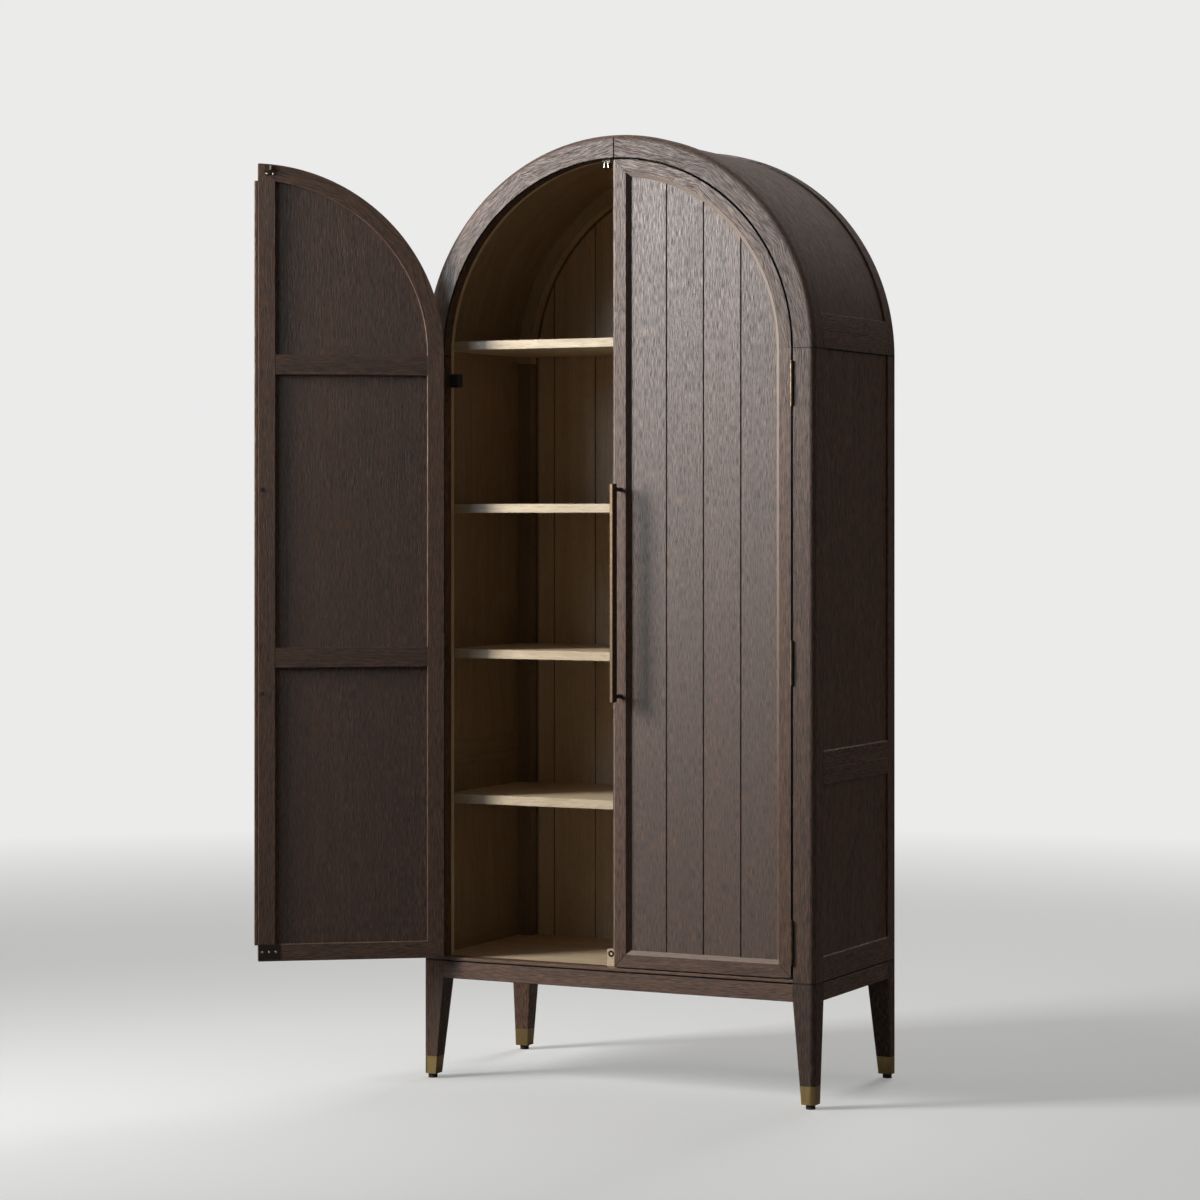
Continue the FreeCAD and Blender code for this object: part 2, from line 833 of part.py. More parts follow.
def side_panel(side, low, high):
    """Flat panel that floats in the posts' grooves and the rails' rebates."""
    body = new_body()
    edge = groove_reach - size.panel_play
    xs = mirrored(side, wall, panel_face)
    prism(body, "XY", low, high - size.panel_play, rectangle(*xs, -edge, edge))
    pin_holes(body, side, low, high)
    return body


def deck():
    """Bottom board of the cupboard, notched round the posts."""
    body = new_body()
    outline = [
        (-inner, -board_face),
        (inner, -board_face),
        (inner, -reach),
        (wall, -reach),
        (wall, reach),
        (inner, reach),
        (inner, back_front),
        (-inner, back_front),
        (-inner, reach),
        (-wall, reach),
        (-wall, -reach),
        (-inner, -reach),
    ]
    prism(body, "XY", deck_low, deck_top, outline)
    place(body, "bottom_deck", FLOOR)


def back_vees():
    """Places of the grooves between the back's boards, as many as fit between the posts."""
    boards = int(2 * inner.value / size.back_board.value)
    boards -= boards % 2
    return [(number - boards / 2 + 0.5) * size.back_board for number in range(boards)]


def build_carcass():
    """Posts, side frames and panels, sill, deck and back up to the spring line."""
    for side, end in corners_of_base():
        post(side, end)
    for side in (LEFT, RIGHT):
        bottom, low_mid, high_mid = side_rail_spans
        rails = [
            side_rail(side, bottom, [bottom[1]]),
            side_rail(side, low_mid, [low_mid[0]]),
            side_rail(side, high_mid, [high_mid[1]]),
        ]
        group("side_rails_" + SIDE_NAMES[side], rails)
        panels = [side_panel(side, low, high) for low, high in side_panel_spans]
        group("side_panels_" + SIDE_NAMES[side], panels)
    sill = new_body()
    sill_heights = (size.carcass_low, deck_top)
    prism(sill, "YZ", -inner, inner, eased(front, -board_face, *sill_heights))
    place(sill, "front_sill", FLOOR)
    deck()
    rail_heights = (size.carcass_low, bottom_rail_top)
    rail = tenoned_board("YZ", inner, (back_rear, half_depth), rail_heights)
    soften(rail, "Chamfer", size.ease, on_face("y", half_depth, rail_heights))
    place(rail, "rear_bottom_rail", FLOOR)
    back = new_body()
    edge = inner + size.rebate - size.panel_play
    prism(back, "XY", size.carcass_low, spring, rectangle(-edge, edge, back_front, back_rear))
    vee_cuts(back, back_vees(), back_front, size.carcass_low, spring)
    place(back, "back_panel_lower", FLOOR)


# Arch unit


def arch_segment(side, end):
    """Quarter of an arch ring, grooved for the panels, with a stub under its foot and an eased seam."""
    body = new_body(ARCH)
    ring(body, "Revolution", corner_square(side, end, size.post, ZERO), side, QUARTER_TURN)
    roof = rectangle(*mirrored(side, wall, panel_face), *mirrored(end, reach, groove_reach))
    ring(body, "Groove", roof, side, QUARTER_TURN)
    if end == REAR:
        back = rectangle(*mirrored(side, inner, inner + size.rebate), back_front, back_rear)
        ring(body, "Groove", back, side, QUARTER_TURN)
    prism(body, "XY", spring - size.foot_stub_height, spring, stub_section(side, end))
    face = end * half_depth
    seam = size.crown_seam
    notch = [(ZERO, face), (side * seam, face), (ZERO, face - 2 * end * seam)]
    prism_cut(body, "XY", spring + inner - size.overrun, size.height, notch)
    place(body, "%s_arch_%s" % (END_NAMES[end], SIDE_NAMES[side]), ARCH)


def arch_rail(side, number):
    """Curved rail between the rings, the first at the spring line, the next above it."""
    body = new_body(ARCH)
    xs = mirrored(side, wall, half_width)
    ring(body, "Revolution", rectangle(*xs, -reach, reach), side, size.arch_rail_angle)
    soften(body, "Chamfer", size.ease, rail_ends)
    turn = -side * number * size.arch_rail_angle
    body.Placement = FreeCAD.Placement(V(), FreeCAD.Rotation(BACK, turn.value))
    return body


def rail_ends(p):
    """Test for the straight outer edges at the two ends of a curved rail."""
    on_outside = near(math.hypot(p.x, p.z - spring.value), half_width.value)
    angle = math.degrees(math.atan2(p.z - spring.value, abs(p.x)))
    at_end = near(angle, 0) or near(angle, size.arch_rail_angle.value)
    return on_outside and at_end


def build_arch_unit():
    """Two arch rings, curved rails, bent roof panel and the arch of the back."""
    for side, end in corners_of_base():
        arch_segment(side, end)
    for side in (LEFT, RIGHT):
        rails = [arch_rail(side, number) for number in (0, 1)]
        group("arch_rails_" + SIDE_NAMES[side], rails, ARCH)
    edge = groove_reach - size.panel_play
    start = 2 * size.arch_rail_angle
    roof = new_body(ARCH)
    roof_section = rectangle(-panel_face, -wall, -edge, edge)
    ring(roof, "Revolution", roof_section, LEFT, HALF_TURN - 2 * start)
    place(roof, "roof_panel", ARCH, turn_axis=BACK, turn=start)
    back = new_body(ARCH)
    rim = inner + size.rebate - size.panel_play
    ring(back, "Revolution", rectangle(-rim, ZERO, back_front, back_rear), LEFT, HALF_TURN)
    vee_cuts(back, back_vees(), back_front, spring, size.height)
    place(back, "back_panel_arch", ARCH)


# Doors


def frame_section():
    """Section of a door frame member, as distance from its outer edge and from the front."""
    ease = size.ease
    groove = size.stile - size.rebate
    return [
        (ease, ZERO),
        (size.stile - size.stile_bevel, ZERO),
        (size.stile, size.stile_bevel_depth),
        (size.stile, size.panel_depth),
        (groove, size.panel_depth),
        (groove, size.panel_depth + size.panel_thick),
        (size.stile, size.panel_depth + size.panel_thick),
        (size.stile, size.door_thick - ease),
        (size.stile - ease, size.door_thick),
        (ease, size.door_thick),
        (ZERO, size.door_thick - ease),
        (ZERO, ease),
    ]


def upright_section(outer, inward):
    """The frame section from above, with its outer edge at a place across X."""
    return [(outer + inward * across, front + deep) for across, deep in frame_section()]


def through_door(body, outline):
    """Cuts an outline right through a door's thickness."""
    prism_cut(body, "XZ", front - size.overrun, door_rear + size.overrun, outline)


def mitre_line(outer, corner):
    """The line through a mitre's outer and inner corner, run on at both ends."""
    share = size.overrun / size.stile
    run = (corner[0] - outer[0], corner[1] - outer[1])
    start = (outer[0] - run[0] * share, outer[1] - run[1] * share)
    end = (corner[0] + run[0] * share, corner[1] + run[1] * share)
    return start, end


def foot_corner(edge, inward):
    """Outer and inner corner of a frame at the door's foot."""
    return (edge, door_low), (edge + inward * size.stile, door_inner_low)


def crown_corner(side):
    """Outer and inner corner where the curved rail meets the meeting stile."""
    edge = meeting_edges[side]
    corner = edge + side * size.stile
    high = spring + chord(door_radius, edge)
    return (edge, high), (corner, spring + chord(door_inner_radius, corner))


def mitre_cut(body, outline, shift_x, shift_z):
    """Cuts an end off through the door, and a fine step into its face beside the cut."""
    through_door(body, outline)
    step = [(x + shift_x, z + shift_z) for x, z in outline]
    prism_cut(body, "XZ", front, front + size.mitre_seam, step)


def mitre_upright(body, outer, corner, into):
    """Cuts an upright along a mitre, where the sign says whether the wood lies above it."""
    start, end = mitre_line(outer, corner)
    mitre_cut(body, [start, end, (end[0], start[1])], ZERO, into * size.mitre_seam)


def mitre_level(body, outer, corner, into):
    """Cuts a level rail along a mitre, where the sign says on which side the wood lies."""
    start, end = mitre_line(outer, corner)
    mitre_cut(body, [start, end, (start[0], end[1])], into * size.mitre_seam, ZERO)


def on_door(thing, side, name):
    """Puts a piece of a door at its hinge line, turned as the door rests."""
    label = "%s_door_%s" % (SIDE_NAMES[side], name)
    place(thing, label, HINGES[side], turn=DOOR_TURNS[side])


def door_group(side, name, members):
    """Like pieces of one door that share a node."""
    label = "%s_door_%s" % (SIDE_NAMES[side], name)
    group(label, members, HINGES[side], DOOR_TURNS[side])


def hinge_stile(side):
    """Upright on the hinge side, let in for three leaves."""
    body = new_body(HINGES[side])
    edge = side * door_radius
    prism(body, "XY", door_low, spring, upright_section(edge, -side))
    mitre_upright(body, *foot_corner(edge, -side), 1)
    leaf = rectangle(*mirrored(side, door_radius - size.leaf_thick, door_radius), front, leaf_rear)
    for height in hinge_heights:
        half = size.hinge_length / 2
        prism_cut(body, "XY", height - half, height + half, leaf)
    on_door(body, side, "hinge_stile")


def meeting_stile(side):
    """Upright at the middle, mitred at both ends and bored for the handle screws."""
    body = new_body(HINGES[side])
    edge = meeting_edges[side]
    outer, corner = crown_corner(side)
    prism(body, "XY", door_low, outer[1], upright_section(edge, side))
    mitre_upright(body, *foot_corner(edge, side), 1)
    mitre_upright(body, outer, corner, -1)
    for height in standoff_heights:
        radius = size.screw_radius + size.screw_play
        round_cut(body, "XZ", front, door_rear, side * size.handle_place, height, radius)
    if side == LEFT:
        lip_end = size.right_edge - size.rear_strip - size.strip_side_play
        rebate = rectangle(lip_end, edge, front + size.door_thick / 2, door_rear)
        prism_cut(body, "XY", strip_low, outer[1], rebate)
    on_door(body, side, "meeting_stile")


def door_arch_rail(side):
    """Curved rail turned about the arch's axis and mitred into the meeting stile."""
    body = new_body(HINGES[side])
    ring(body, "Revolution", upright_section(side * door_radius, -side), side, QUARTER_TURN)
    start, end = mitre_line(*crown_corner(side))
    past = -side * size.overrun
    outline = [start, end, (past, end[1]), (past, start[1])]
    mitre_cut(body, outline, side * size.mitre_seam, ZERO)
    on_door(body, side, "arch_rail")


def door_bottom_rail(side):
    """Level rail at the foot, mitred at both ends."""
    body = new_body(HINGES[side])
    section = [(front + deep, door_low + across) for across, deep in frame_section()]
    hinge_edge = side * door_radius
    prism(body, "YZ", *ordered(meeting_edges[side], hinge_edge), section)
    mitre_level(body, *foot_corner(hinge_edge, -side), -side)
    mitre_level(body, *foot_corner(meeting_edges[side], side), side)
    on_door(body, side, "bottom_rail")


def cross_rail(side, middle):
    """Flat rail across the back of the panel, between the stiles."""
    low = middle - size.cross_rail / 2
    xs = ordered(meeting_edges[side] + side * size.stile, side * door_inner_radius)
    return box(HINGES[side], xs, (panel_rear, door_rear), (low, low + size.cross_rail))


def door_panel(side):
    """Board panel with an arched head, held in the frame's grooves."""
    body = new_body(HINGES[side])
    radius = door_inner_radius + size.rebate - size.panel_play
    hinge_x = side * radius
    meeting_x = meeting_edges[side] + side * (size.stile - size.rebate + size.panel_play)
    low = door_inner_low - size.rebate
    high = spring + chord(radius, meeting_x)
    outline = [
        (hinge_x, low),
        (meeting_x, low),
        Corner(meeting_x, high, "x", ARCH_MIDDLE, radius),
        Corner(hinge_x, spring, "y"),
    ]
    prism(body, "XZ", panel_front, panel_rear, outline)
    middle = (meeting_edges[side] + side * (size.stile + door_inner_radius)) / 2
    centres = [middle + count * size.door_board for count in (-1, 0, 1)]
    vee_cuts(body, centres, panel_front, low, size.height)
    on_door(body, side, "panel")


def meeting_strip(side):
    """Cover strip on the meeting edge, in front on the left door and behind on the right."""
    body = new_body(HINGES[side])
    edge = meeting_edges[side]
    half = size.door_thick / 2
    if side == LEFT:
        section = eased(edge, edge + size.front_strip, front, front + half - size.strip_play)
        prism(body, "XY", strip_low, front_strip_top, section)
    else:
        section = eased(edge - size.rear_strip, edge, front + half + size.strip_play, door_rear)
        prism(body, "XY", strip_low, rear_strip_top, section)
    on_door(body, side, "meeting_strip")


def handle_bar(side):
    """Slim upright bar with eased edges."""
    body = new_body(HINGES[side])
    half = size.handle_width / 2
    xs = mirrored(side, size.handle_place - half, size.handle_place + half)
    low = size.handle_height - size.handle_length / 2
    prism(body, "XY", low, low + size.handle_length, eased(*xs, front - size.handle_reach, bar_rear))
    ends = (low.value, (low + size.handle_length).value)
    soften(body, "Chamfer", size.ease / 2, lambda p: near(p.z, ends[0]) or near(p.z, ends[1]))
    on_door(body, side, "handle_bar")


def handle_fixings(side):
    """Standoffs between the bar and the door, each with its screw from behind."""
    home = HINGES[side]
    fixings = []
    for height in standoff_heights:
        centre = (side * size.handle_place, height)
        tip = front - size.screw_bite
        post_rod = rod(home, BACK, centre, (bar_rear, front), size.standoff_radius)
        bore = rod(home, BACK, centre, (tip, front), size.screw_radius + size.screw_play)
        fixings.append(cut(post_rod, bore))
        shank = rod(home, BACK, centre, (tip, door_rear), size.screw_radius)
        head = rod(home, BACK, centre, (door_rear, door_rear + size.screw_head), size.screw_head_radius)
        fixings.append(fuse((shank, head)))
    door_group(side, "handle_fixings", fixings)


def build_doors():
    """Two arched doors, the left one resting open."""
    for side in (LEFT, RIGHT):
        hinge_stile(side)
        meeting_stile(side)
        door_arch_rail(side)
        door_bottom_rail(side)
        door_group(side, "cross_rails", [cross_rail(side, height) for height in cross_rail_heights])
        door_panel(side)
        meeting_strip(side)
        handle_bar(side)
        handle_fixings(side)


# Hinges


def hinge_leaf(home, side, edge, into, height, first):
    """One leaf with every second knuckle, from the given one up."""
    low = height - size.hinge_length / 2
    pitch = size.hinge_length / KNUCKLE_COUNT
    thick = ordered(edge, edge + into * size.leaf_thick)
    pieces = [box(home, thick, (leaf_front, leaf_rear), (low, low + size.hinge_length))]
    centre = (side * axis_x, axis_y)
    for number in range(first, KNUCKLE_COUNT, 2):
        start = low + number * pitch + size.knuckle_gap / 2
        span = (start, start + pitch - size.knuckle_gap)
        pieces.append(rod(home, UP, centre, span, size.knuckle_radius))
        pieces.append(box(home, thick, (axis_y, leaf_front), span))
    bore_span = (low - size.overrun, low + size.hinge_length + size.overrun)
    bore = rod(home, UP, centre, bore_span, size.pin_radius + size.pin_play)
    return cut(fuse(pieces), bore)


def hinge_pin(side, height):
    """Pin with a cap at each end."""
    centre = (side * axis_x, axis_y)
    low = height - size.hinge_length / 2
    high = low + size.hinge_length
    shank = rod(FLOOR, UP, centre, (low, high), size.pin_radius)
    foot = rod(FLOOR, UP, centre, (low - size.pin_cap, low), size.pin_cap_radius)
    head = rod(FLOOR, UP, centre, (high, high + size.pin_cap), size.pin_cap_radius)
    return fuse((shank, foot, head))


def build_hinges():
    """Three hinges on each side, with their pins fixed to the posts."""
    frame_leaves = []
    pins = []
    for side in (LEFT, RIGHT):
        door_edge = side * door_radius
        door_leaves = []
        for height in hinge_heights:
            frame_leaves.append(hinge_leaf(FLOOR, side, side * inner, side, height, 0))
            door_leaves.append(hinge_leaf(HINGES[side], side, door_edge, -side, height, 1))
            pins.append(hinge_pin(side, height))
        door_group(side, "hinge_leaves", door_leaves)
    group("hinge_frame_leaves", frame_leaves)
    group("hinge_pins", pins)


# Catches


def top_catch(side):
    """Plate shaped to the arch, with two sprung prongs that flare at their tips."""
    body = new_body()
    middle = side * size.catch_place
    start, end = middle - size.catch_plate_half, middle + size.catch_plate_half
    outside = start if side == LEFT else end
    plate_low = spring + chord(inner, outside) - size.catch_plate
    outline = [
        (start, plate_low),
        (end, plate_low),
        Corner(end, spring + chord(inner, end), "x", ARCH_MIDDLE, inner),
        Corner(start, spring + chord(inner, start), "x"),
    ]
    prism(body, "XZ", catch_front, catch_front + size.catch_depth, outline)
    tip = plate_low - size.prong_reach
    for sign in (-1, 1):
        near_side = middle + sign * size.prong_gap / 2
        far_side = near_side + sign * size.prong_thick
        flare = sign * size.prong_flare
        prong = [
            (near_side, plate_low),
            (near_side, tip + size.prong_tip),
            (near_side + flare, tip),
            (far_side + flare, tip),
            (far_side, tip + size.prong_tip),
            (far_side, plate_low),
        ]
        start_y = catch_front + size.prong_inset
        end_y = catch_front + size.catch_depth - size.prong_inset
        prism(body, "XZ", start_y, end_y, prong)
    return body


def door_strikes(side):
    """Plate with a spear for the top catch, and a flat plate for the magnet."""
    home = HINGES[side]
    middle = side * size.catch_place
    half = size.strike_side / 2
    face = door_rear + size.strike_thick
    tip = face + size.spear_length
    spear_top = strike_top - size.spear_below_top
    heights = (spear_top - size.spear_height, spear_top)
    plate_span = (strike_top - size.strike_side, strike_top)
    plate = box(home, (middle - half, middle + half), (door_rear, face), plate_span)
    neck_half = size.spear_thick / 2
    neck = box(home, (middle - neck_half, middle + neck_half), (face, tip), heights)
    head_half = size.spear_head / 2
    head_span = (tip - size.spear_head_length, tip)
    head = box(home, (middle - head_half, middle + head_half), head_span, heights)
    low_xs = mirrored(side, size.plate_start, size.plate_start + size.plate_width)
    low_zs = (plate_low, plate_low + size.plate_height)
    low_plate = box(home, low_xs, (door_rear, door_rear + size.plate_thick), low_zs)
    door_group(side, "strikes", [fuse((plate, neck, head)), low_plate])


def magnet(side):
    """Round magnet in its cup."""
    centre = (side * size.magnet_place, magnet_height)
    back_end = stop_front + size.magnet_length
    face_span = (stop_front, back_end - size.magnet_floor)
    cup = rod(FLOOR, BACK, centre, (stop_front, back_end), size.magnet_radius)
    hollow = rod(FLOOR, BACK, centre, face_span, size.magnet_core_radius)
    core = rod(FLOOR, BACK, centre, face_span, size.magnet_core_radius)
    return cut(cup, hollow), core


def stop_block():
    """Block on the deck that the doors close against, bored for the magnets."""
    body = new_body()
    half = size.stop_width / 2
    outline = rectangle(-half, half, stop_front, stop_front + size.stop_depth)
    prism(body, "XY", deck_top, deck_top + size.stop_height, outline)
    top = (deck_top + size.stop_height).value
    soften(body, "Chamfer", size.ease, lambda p: near(p.z, top))
    for side in (LEFT, RIGHT):
        x = side * size.magnet_place
        end = stop_front + size.magnet_length
        round_cut(body, "XZ", stop_front, end, x, magnet_height, size.magnet_radius)
    place(body, "stop_block", FLOOR)


def build_catches():
    """Spring catches under the arch, magnets at the foot and their plates on the doors."""
    group("top_catches", [top_catch(side) for side in (LEFT, RIGHT)])
    stop_block()
    group("magnet_catches", [piece for side in (LEFT, RIGHT) for piece in magnet(side)])
    for side in (LEFT, RIGHT):
        door_strikes(side)


# Inside


def joint_knob(side):
    """Hand knob on the bolt that draws the arch unit down onto the post."""
    body = new_body()
    half = size.knob_depth / 2
    outline = rectangle(knob_y - half, knob_y + half, knob_low, knob_top)
    prism(body, "YZ", *mirrored(side, inner - size.knob_reach, inner), outline)
    tall = (knob_low.value, knob_top.value)
    deep = ((knob_y - half).value, (knob_y + half).value)

    def corner(p):
        return any(near(p.y, y) for y in deep) and any(near(p.z, z) for z in tall)

    soften(body, "Fillet", size.knob_round, corner)
    face = side * (inner - size.knob_reach)
    soften(body, "Chamfer", size.ease, lambda p: near(p.x, face.value))
    bolt = mirrored(side, inner, inner + size.knob_bolt)
    round_prism(body, "YZ", *bolt, knob_y, knob_z, size.knob_bolt_radius)
    return body


def shelf(low, half_length, notch_x):
    """Shelf board, notched round the rear posts, with eased front edges."""
    body = new_body()
    notch_y = reach - size.shelf_play
    outline = [
        (-half_length, shelf_front),
        (half_length, shelf_front),
        (half_length, notch_y),
        (notch_x, notch_y),
        (notch_x, shelf_rear),
        (-notch_x, shelf_rear),
        (-notch_x, notch_y),
        (-half_length, notch_y),
    ]
    prism(body, "XY", low, low + size.shelf_thick, outline)
    heights = (low, low + size.shelf_thick)
    soften(body, "Chamfer", size.ease, on_face("y", shelf_front, heights))
    return body


def shelf_pin(side, pin_y, low):
    """Pin in a side panel under a shelf."""
    span = mirrored(side, wall - size.shelf_pin_reach, wall + size.shelf_pin_depth)
    pin_z = low - size.shelf_pin_radius
    return rod(FLOOR, ACROSS, (pin_y, pin_z), span, size.shelf_pin_radius)


def build_inside():
    """Shelves, their pins and the knobs of the arch unit."""
    rise = size.fixed_shelf_rise + size.shelf_thick
    fixed = shelf(fixed_shelf_low, chord(wall, rise), chord(inner, rise) - size.shelf_play)
    place(fixed, "fixed_shelf", FLOOR)
    play = size.shelf_play
    loose = [shelf(low, wall - play, inner - play) for low in shelf_heights]
    group("adjustable_shelves", loose)
    pins = []
    for low in shelf_heights:
        for side, end in corners_of_base():
            pins.append(shelf_pin(side, end * size.shelf_pin_place, low))
    group("shelf_pins", pins)
    group("joint_knobs", [joint_knob(side) for side in (LEFT, RIGHT)])


def stand_on_origin():
    """Moves everything so that the origin lies under the middle of the whole."""
    doc.recompute()
    whole = Part.makeCompound([thing.Shape for thing in PARTS.values()]).optimalBoundingBox()
    rows = len(SIZES)
    sheet.set("B%d" % (rows + 1), repr(-whole.Center.x))
    sheet.set("B%d" % (rows + 2), repr(-whole.Center.y))
    doc.recompute()
    return whole


def check_all():
    """Stops if any object failed or any sub-part isn't a sound solid."""
    for thing in doc.Objects:
        if "Invalid" in thing.State or "Error" in thing.State:
            raise RuntimeError("%s (%s) failed: %s" % (thing.Name, thing.Label, thing.State))
    for label, thing in PARTS.items():
        shape = thing.Shape
        if shape.isNull() or not shape.isValid() or not shape.Solids:
            raise RuntimeError("%s has no sound solid" % label)


def export_all():
    """Writes one file for each sub-part."""
    os.makedirs("parts", exist_ok=True)
    for label, thing in PARTS.items():
        thing.Shape.exportStep("parts/%s.step" % label)


build_base()
build_carcass()
build_arch_unit()
build_doors()
build_hinges()
build_catches()
build_inside()
whole = stand_on_origin()
check_all()
export_all()
print("sub-parts", len(PARTS), "solids", sum(len(thing.Shape.Solids) for thing in PARTS.values()))
print("box", whole.XLength, whole.YLength, whole.ZLength)
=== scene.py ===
import itertools
import math

import bmesh
import bpy
from mathutils import Matrix, Vector


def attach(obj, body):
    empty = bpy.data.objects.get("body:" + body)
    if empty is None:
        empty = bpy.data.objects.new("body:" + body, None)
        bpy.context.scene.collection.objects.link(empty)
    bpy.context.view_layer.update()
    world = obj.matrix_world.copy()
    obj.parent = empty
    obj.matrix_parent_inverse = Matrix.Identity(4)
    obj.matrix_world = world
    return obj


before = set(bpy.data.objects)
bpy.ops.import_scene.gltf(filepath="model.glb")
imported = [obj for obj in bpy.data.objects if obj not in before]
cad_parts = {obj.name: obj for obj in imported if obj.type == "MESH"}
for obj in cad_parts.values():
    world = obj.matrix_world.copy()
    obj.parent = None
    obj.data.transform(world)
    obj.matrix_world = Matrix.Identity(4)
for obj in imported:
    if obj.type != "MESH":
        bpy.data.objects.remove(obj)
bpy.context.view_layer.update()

# Places in metres. The cabinet's own middle lies at CENTRE in the row frame, and the doors
# are described as they are when closed.
CENTRE = Vector((0.16301036, 0.14474157, 0.0))
INNER = 0.454
DOOR_REAR = -0.226
DOOR_EDGE = 0.4507
HINGE_PLACE = Vector((0.45235, -0.257, 0.0))
HINGE_HEIGHTS = (0.378, 1.015, 1.652)
REST_ANGLE = math.radians(144)
SIDES = {"left": -1, "right": 1}

# Places in millimetres, as the materials use them.
INNER_MM = INNER * 1000
DOOR_REAR_MM = DOOR_REAR * 1000
DOOR_EDGE_MM = DOOR_EDGE * 1000
WALL_MM = 490.0
FRONT_MM = -254.0
BACK_MM = 229.0
SPRING_MM = 1732.0
CARCASS_LOW = 285.0
INSIDE_FRONT = -214.5
INSIDE_LOW = 292.5
DOOR_LOW = 296.0
MEETING_EDGE = {"left": -9.0, "right": 1.0}
STILE = 40.0
BEVEL = 9.5
BACK_BOARD = 115.0
DOOR_BOARD = 94.3
MAGNET_ASIDE = 20.5
MAGNET_HEIGHT = 322.0
MAGNET_CORE = 3.0
SPEAR_BASE = 2.0


# Node trees


class Net:
    """A material whose nodes are added by short calls."""

    def __init__(self, name):
        self.material = bpy.data.materials.new(name)
        self.material.use_nodes = True
        tree = self.material.node_tree
        self.nodes, self.links = tree.nodes, tree.links
        self.shader = self.nodes["Principled BSDF"]

    def put(self, socket, value):
        """Feeds a socket from another socket or with a plain value."""
        if isinstance(value, bpy.types.NodeSocket):
            self.links.new(value, socket)
        else:
            socket.default_value = value

    def node(self, kind, inputs=(), **settings):
        """Adds a node with its settings and inputs."""
        made = self.nodes.new(kind)
        for name, value in settings.items():
            setattr(made, name, value)
        for key, value in dict(inputs).items():
            self.put(made.inputs[key], value)
        return made

    def math(self, operation, *values):
        """One scalar sum."""
        return self.node("ShaderNodeMath", enumerate(values), operation=operation).outputs[0]

    def vector(self, operation, *values):
        """One vector sum."""
        made = self.node("ShaderNodeVectorMath", enumerate(values), operation=operation)
        return made.outputs[0]

    def split(self, vector):
        """The three parts of a vector."""
        return self.node("ShaderNodeSeparateXYZ", {0: vector}).outputs

    def join(self, x, y, z):
        """A vector from its parts."""
        return self.node("ShaderNodeCombineXYZ", enumerate((x, y, z))).outputs[0]

    def noise(self, vector, detail=2.0, roughness=0.5):
        """Noise whose grain size is one unit of the vector."""
        made = self.node("ShaderNodeTexNoise", {"Vector": vector, "Scale": 1.0})
        made.inputs["Detail"].default_value = detail
        made.inputs["Roughness"].default_value = roughness
        return made.outputs[0]

    def length(self, one, other):
        """The root of the sum of two squares."""
        squares = self.math("MULTIPLY_ADD", one, one, self.math("MULTIPLY", other, other))
        return self.math("SQRT", squares)

    def chance(self, value):
        """A fixed random number from 0 to 1 for each whole value."""
        made = self.node("ShaderNodeTexWhiteNoise", {"W": value}, noise_dimensions="1D")
        return made.outputs[0]

    def ramp(self, value, low, high, to_low=0.0, to_high=1.0):
        """A value brought from one range to another, and held there."""
        made = self.node("ShaderNodeMapRange", enumerate((value, low, high, to_low, to_high)))
        return made.outputs[0]

    def mix(self, share, one, other):
        """One colour blended with another."""
        made = self.node("ShaderNodeMix", data_type="RGBA")
        self.put(made.inputs[0], share)
        self.put(made.inputs[6], one)
        self.put(made.inputs[7], other)
        return made.outputs[2]

    def bump(self, height, strength, distance):
        """A normal from a height."""
        made = self.node("ShaderNodeBump", {"Height": height})
        made.inputs["Strength"].default_value = strength
        made.inputs["Distance"].default_value = distance
        return made.outputs[0]


def linear(red, green, blue):
    """A colour given in screen values, as the shader needs it."""
    def one(value):
        value /= 255
        return value / 12.92 if value <= 0.04045 else ((value + 0.055) / 1.055) ** 2.4
    return (one(red), one(green), one(blue), 1.0)


def cabinet_place(net, door=None):
    """Place of a point in millimetres from the cabinet's middle, its door closed."""
    place = net.node("ShaderNodeTexCoord").outputs["Object"]
    place = net.vector("SUBTRACT", place, CENTRE)
    if door == "left":
        inputs = {"Vector": place, "Angle": REST_ANGLE}
        turned = net.node("ShaderNodeVectorRotate", inputs, rotation_type="Z_AXIS")
        turned.inputs["Center"].default_value = (-HINGE_PLACE.x, HINGE_PLACE.y, 0)
        place = turned.outputs[0]
    return net.vector("MULTIPLY", place, (1000, 1000, 1000))


def from_axis(net, x, z):
    """Distance aside from the middle, or above the spring line from the arch's axis."""
    rise = net.math("MAXIMUM", net.math("SUBTRACT", z, SPRING_MM), 0.0)
    return net.length(x, rise)


# Wood

# Angle of one sawn piece of an arch, and how far apart two pieces' grain may start.
SEGMENT = math.radians(30)
SEGMENT_SHIFT = 900.0
# Steps in the wood, in millimetres, from one node to the next and from board to board.
SEED_STEP = (31.0, 17.0, 613.0)
BOARD_STEP = (370.0, 2300.0)

# Width and length of the oak's marks in millimetres.
FIGURE = (26, 620)
SWAY = (60, 420)
STREAK = (3.0, 120)
FLECK = (1.4, 24)
PORE = (1.5, 24)
RING_WIDTH = 1.15
RING_SWAY = 46.0

# How much each mark counts in the tone of the dark and of the light wood.
DARK_WEIGHTS = {"figure": 0.3, "growth": 0.12, "streaks": 1.0, "flecks": 3.1, "shade": 0.14}
LIGHT_WEIGHTS = {"figure": 0.8, "growth": 0.2, "streaks": 0.7, "flecks": 0.3, "shade": 0.3}
BOLD_MARKS = ("streaks", "flecks")
DARK_PORES = 0.5
LIGHT_PORES = 0.25
DARK_RELIEF = 0.45
LIGHT_RELIEF = 0.25
RELIEF_DEPTH = 0.0006

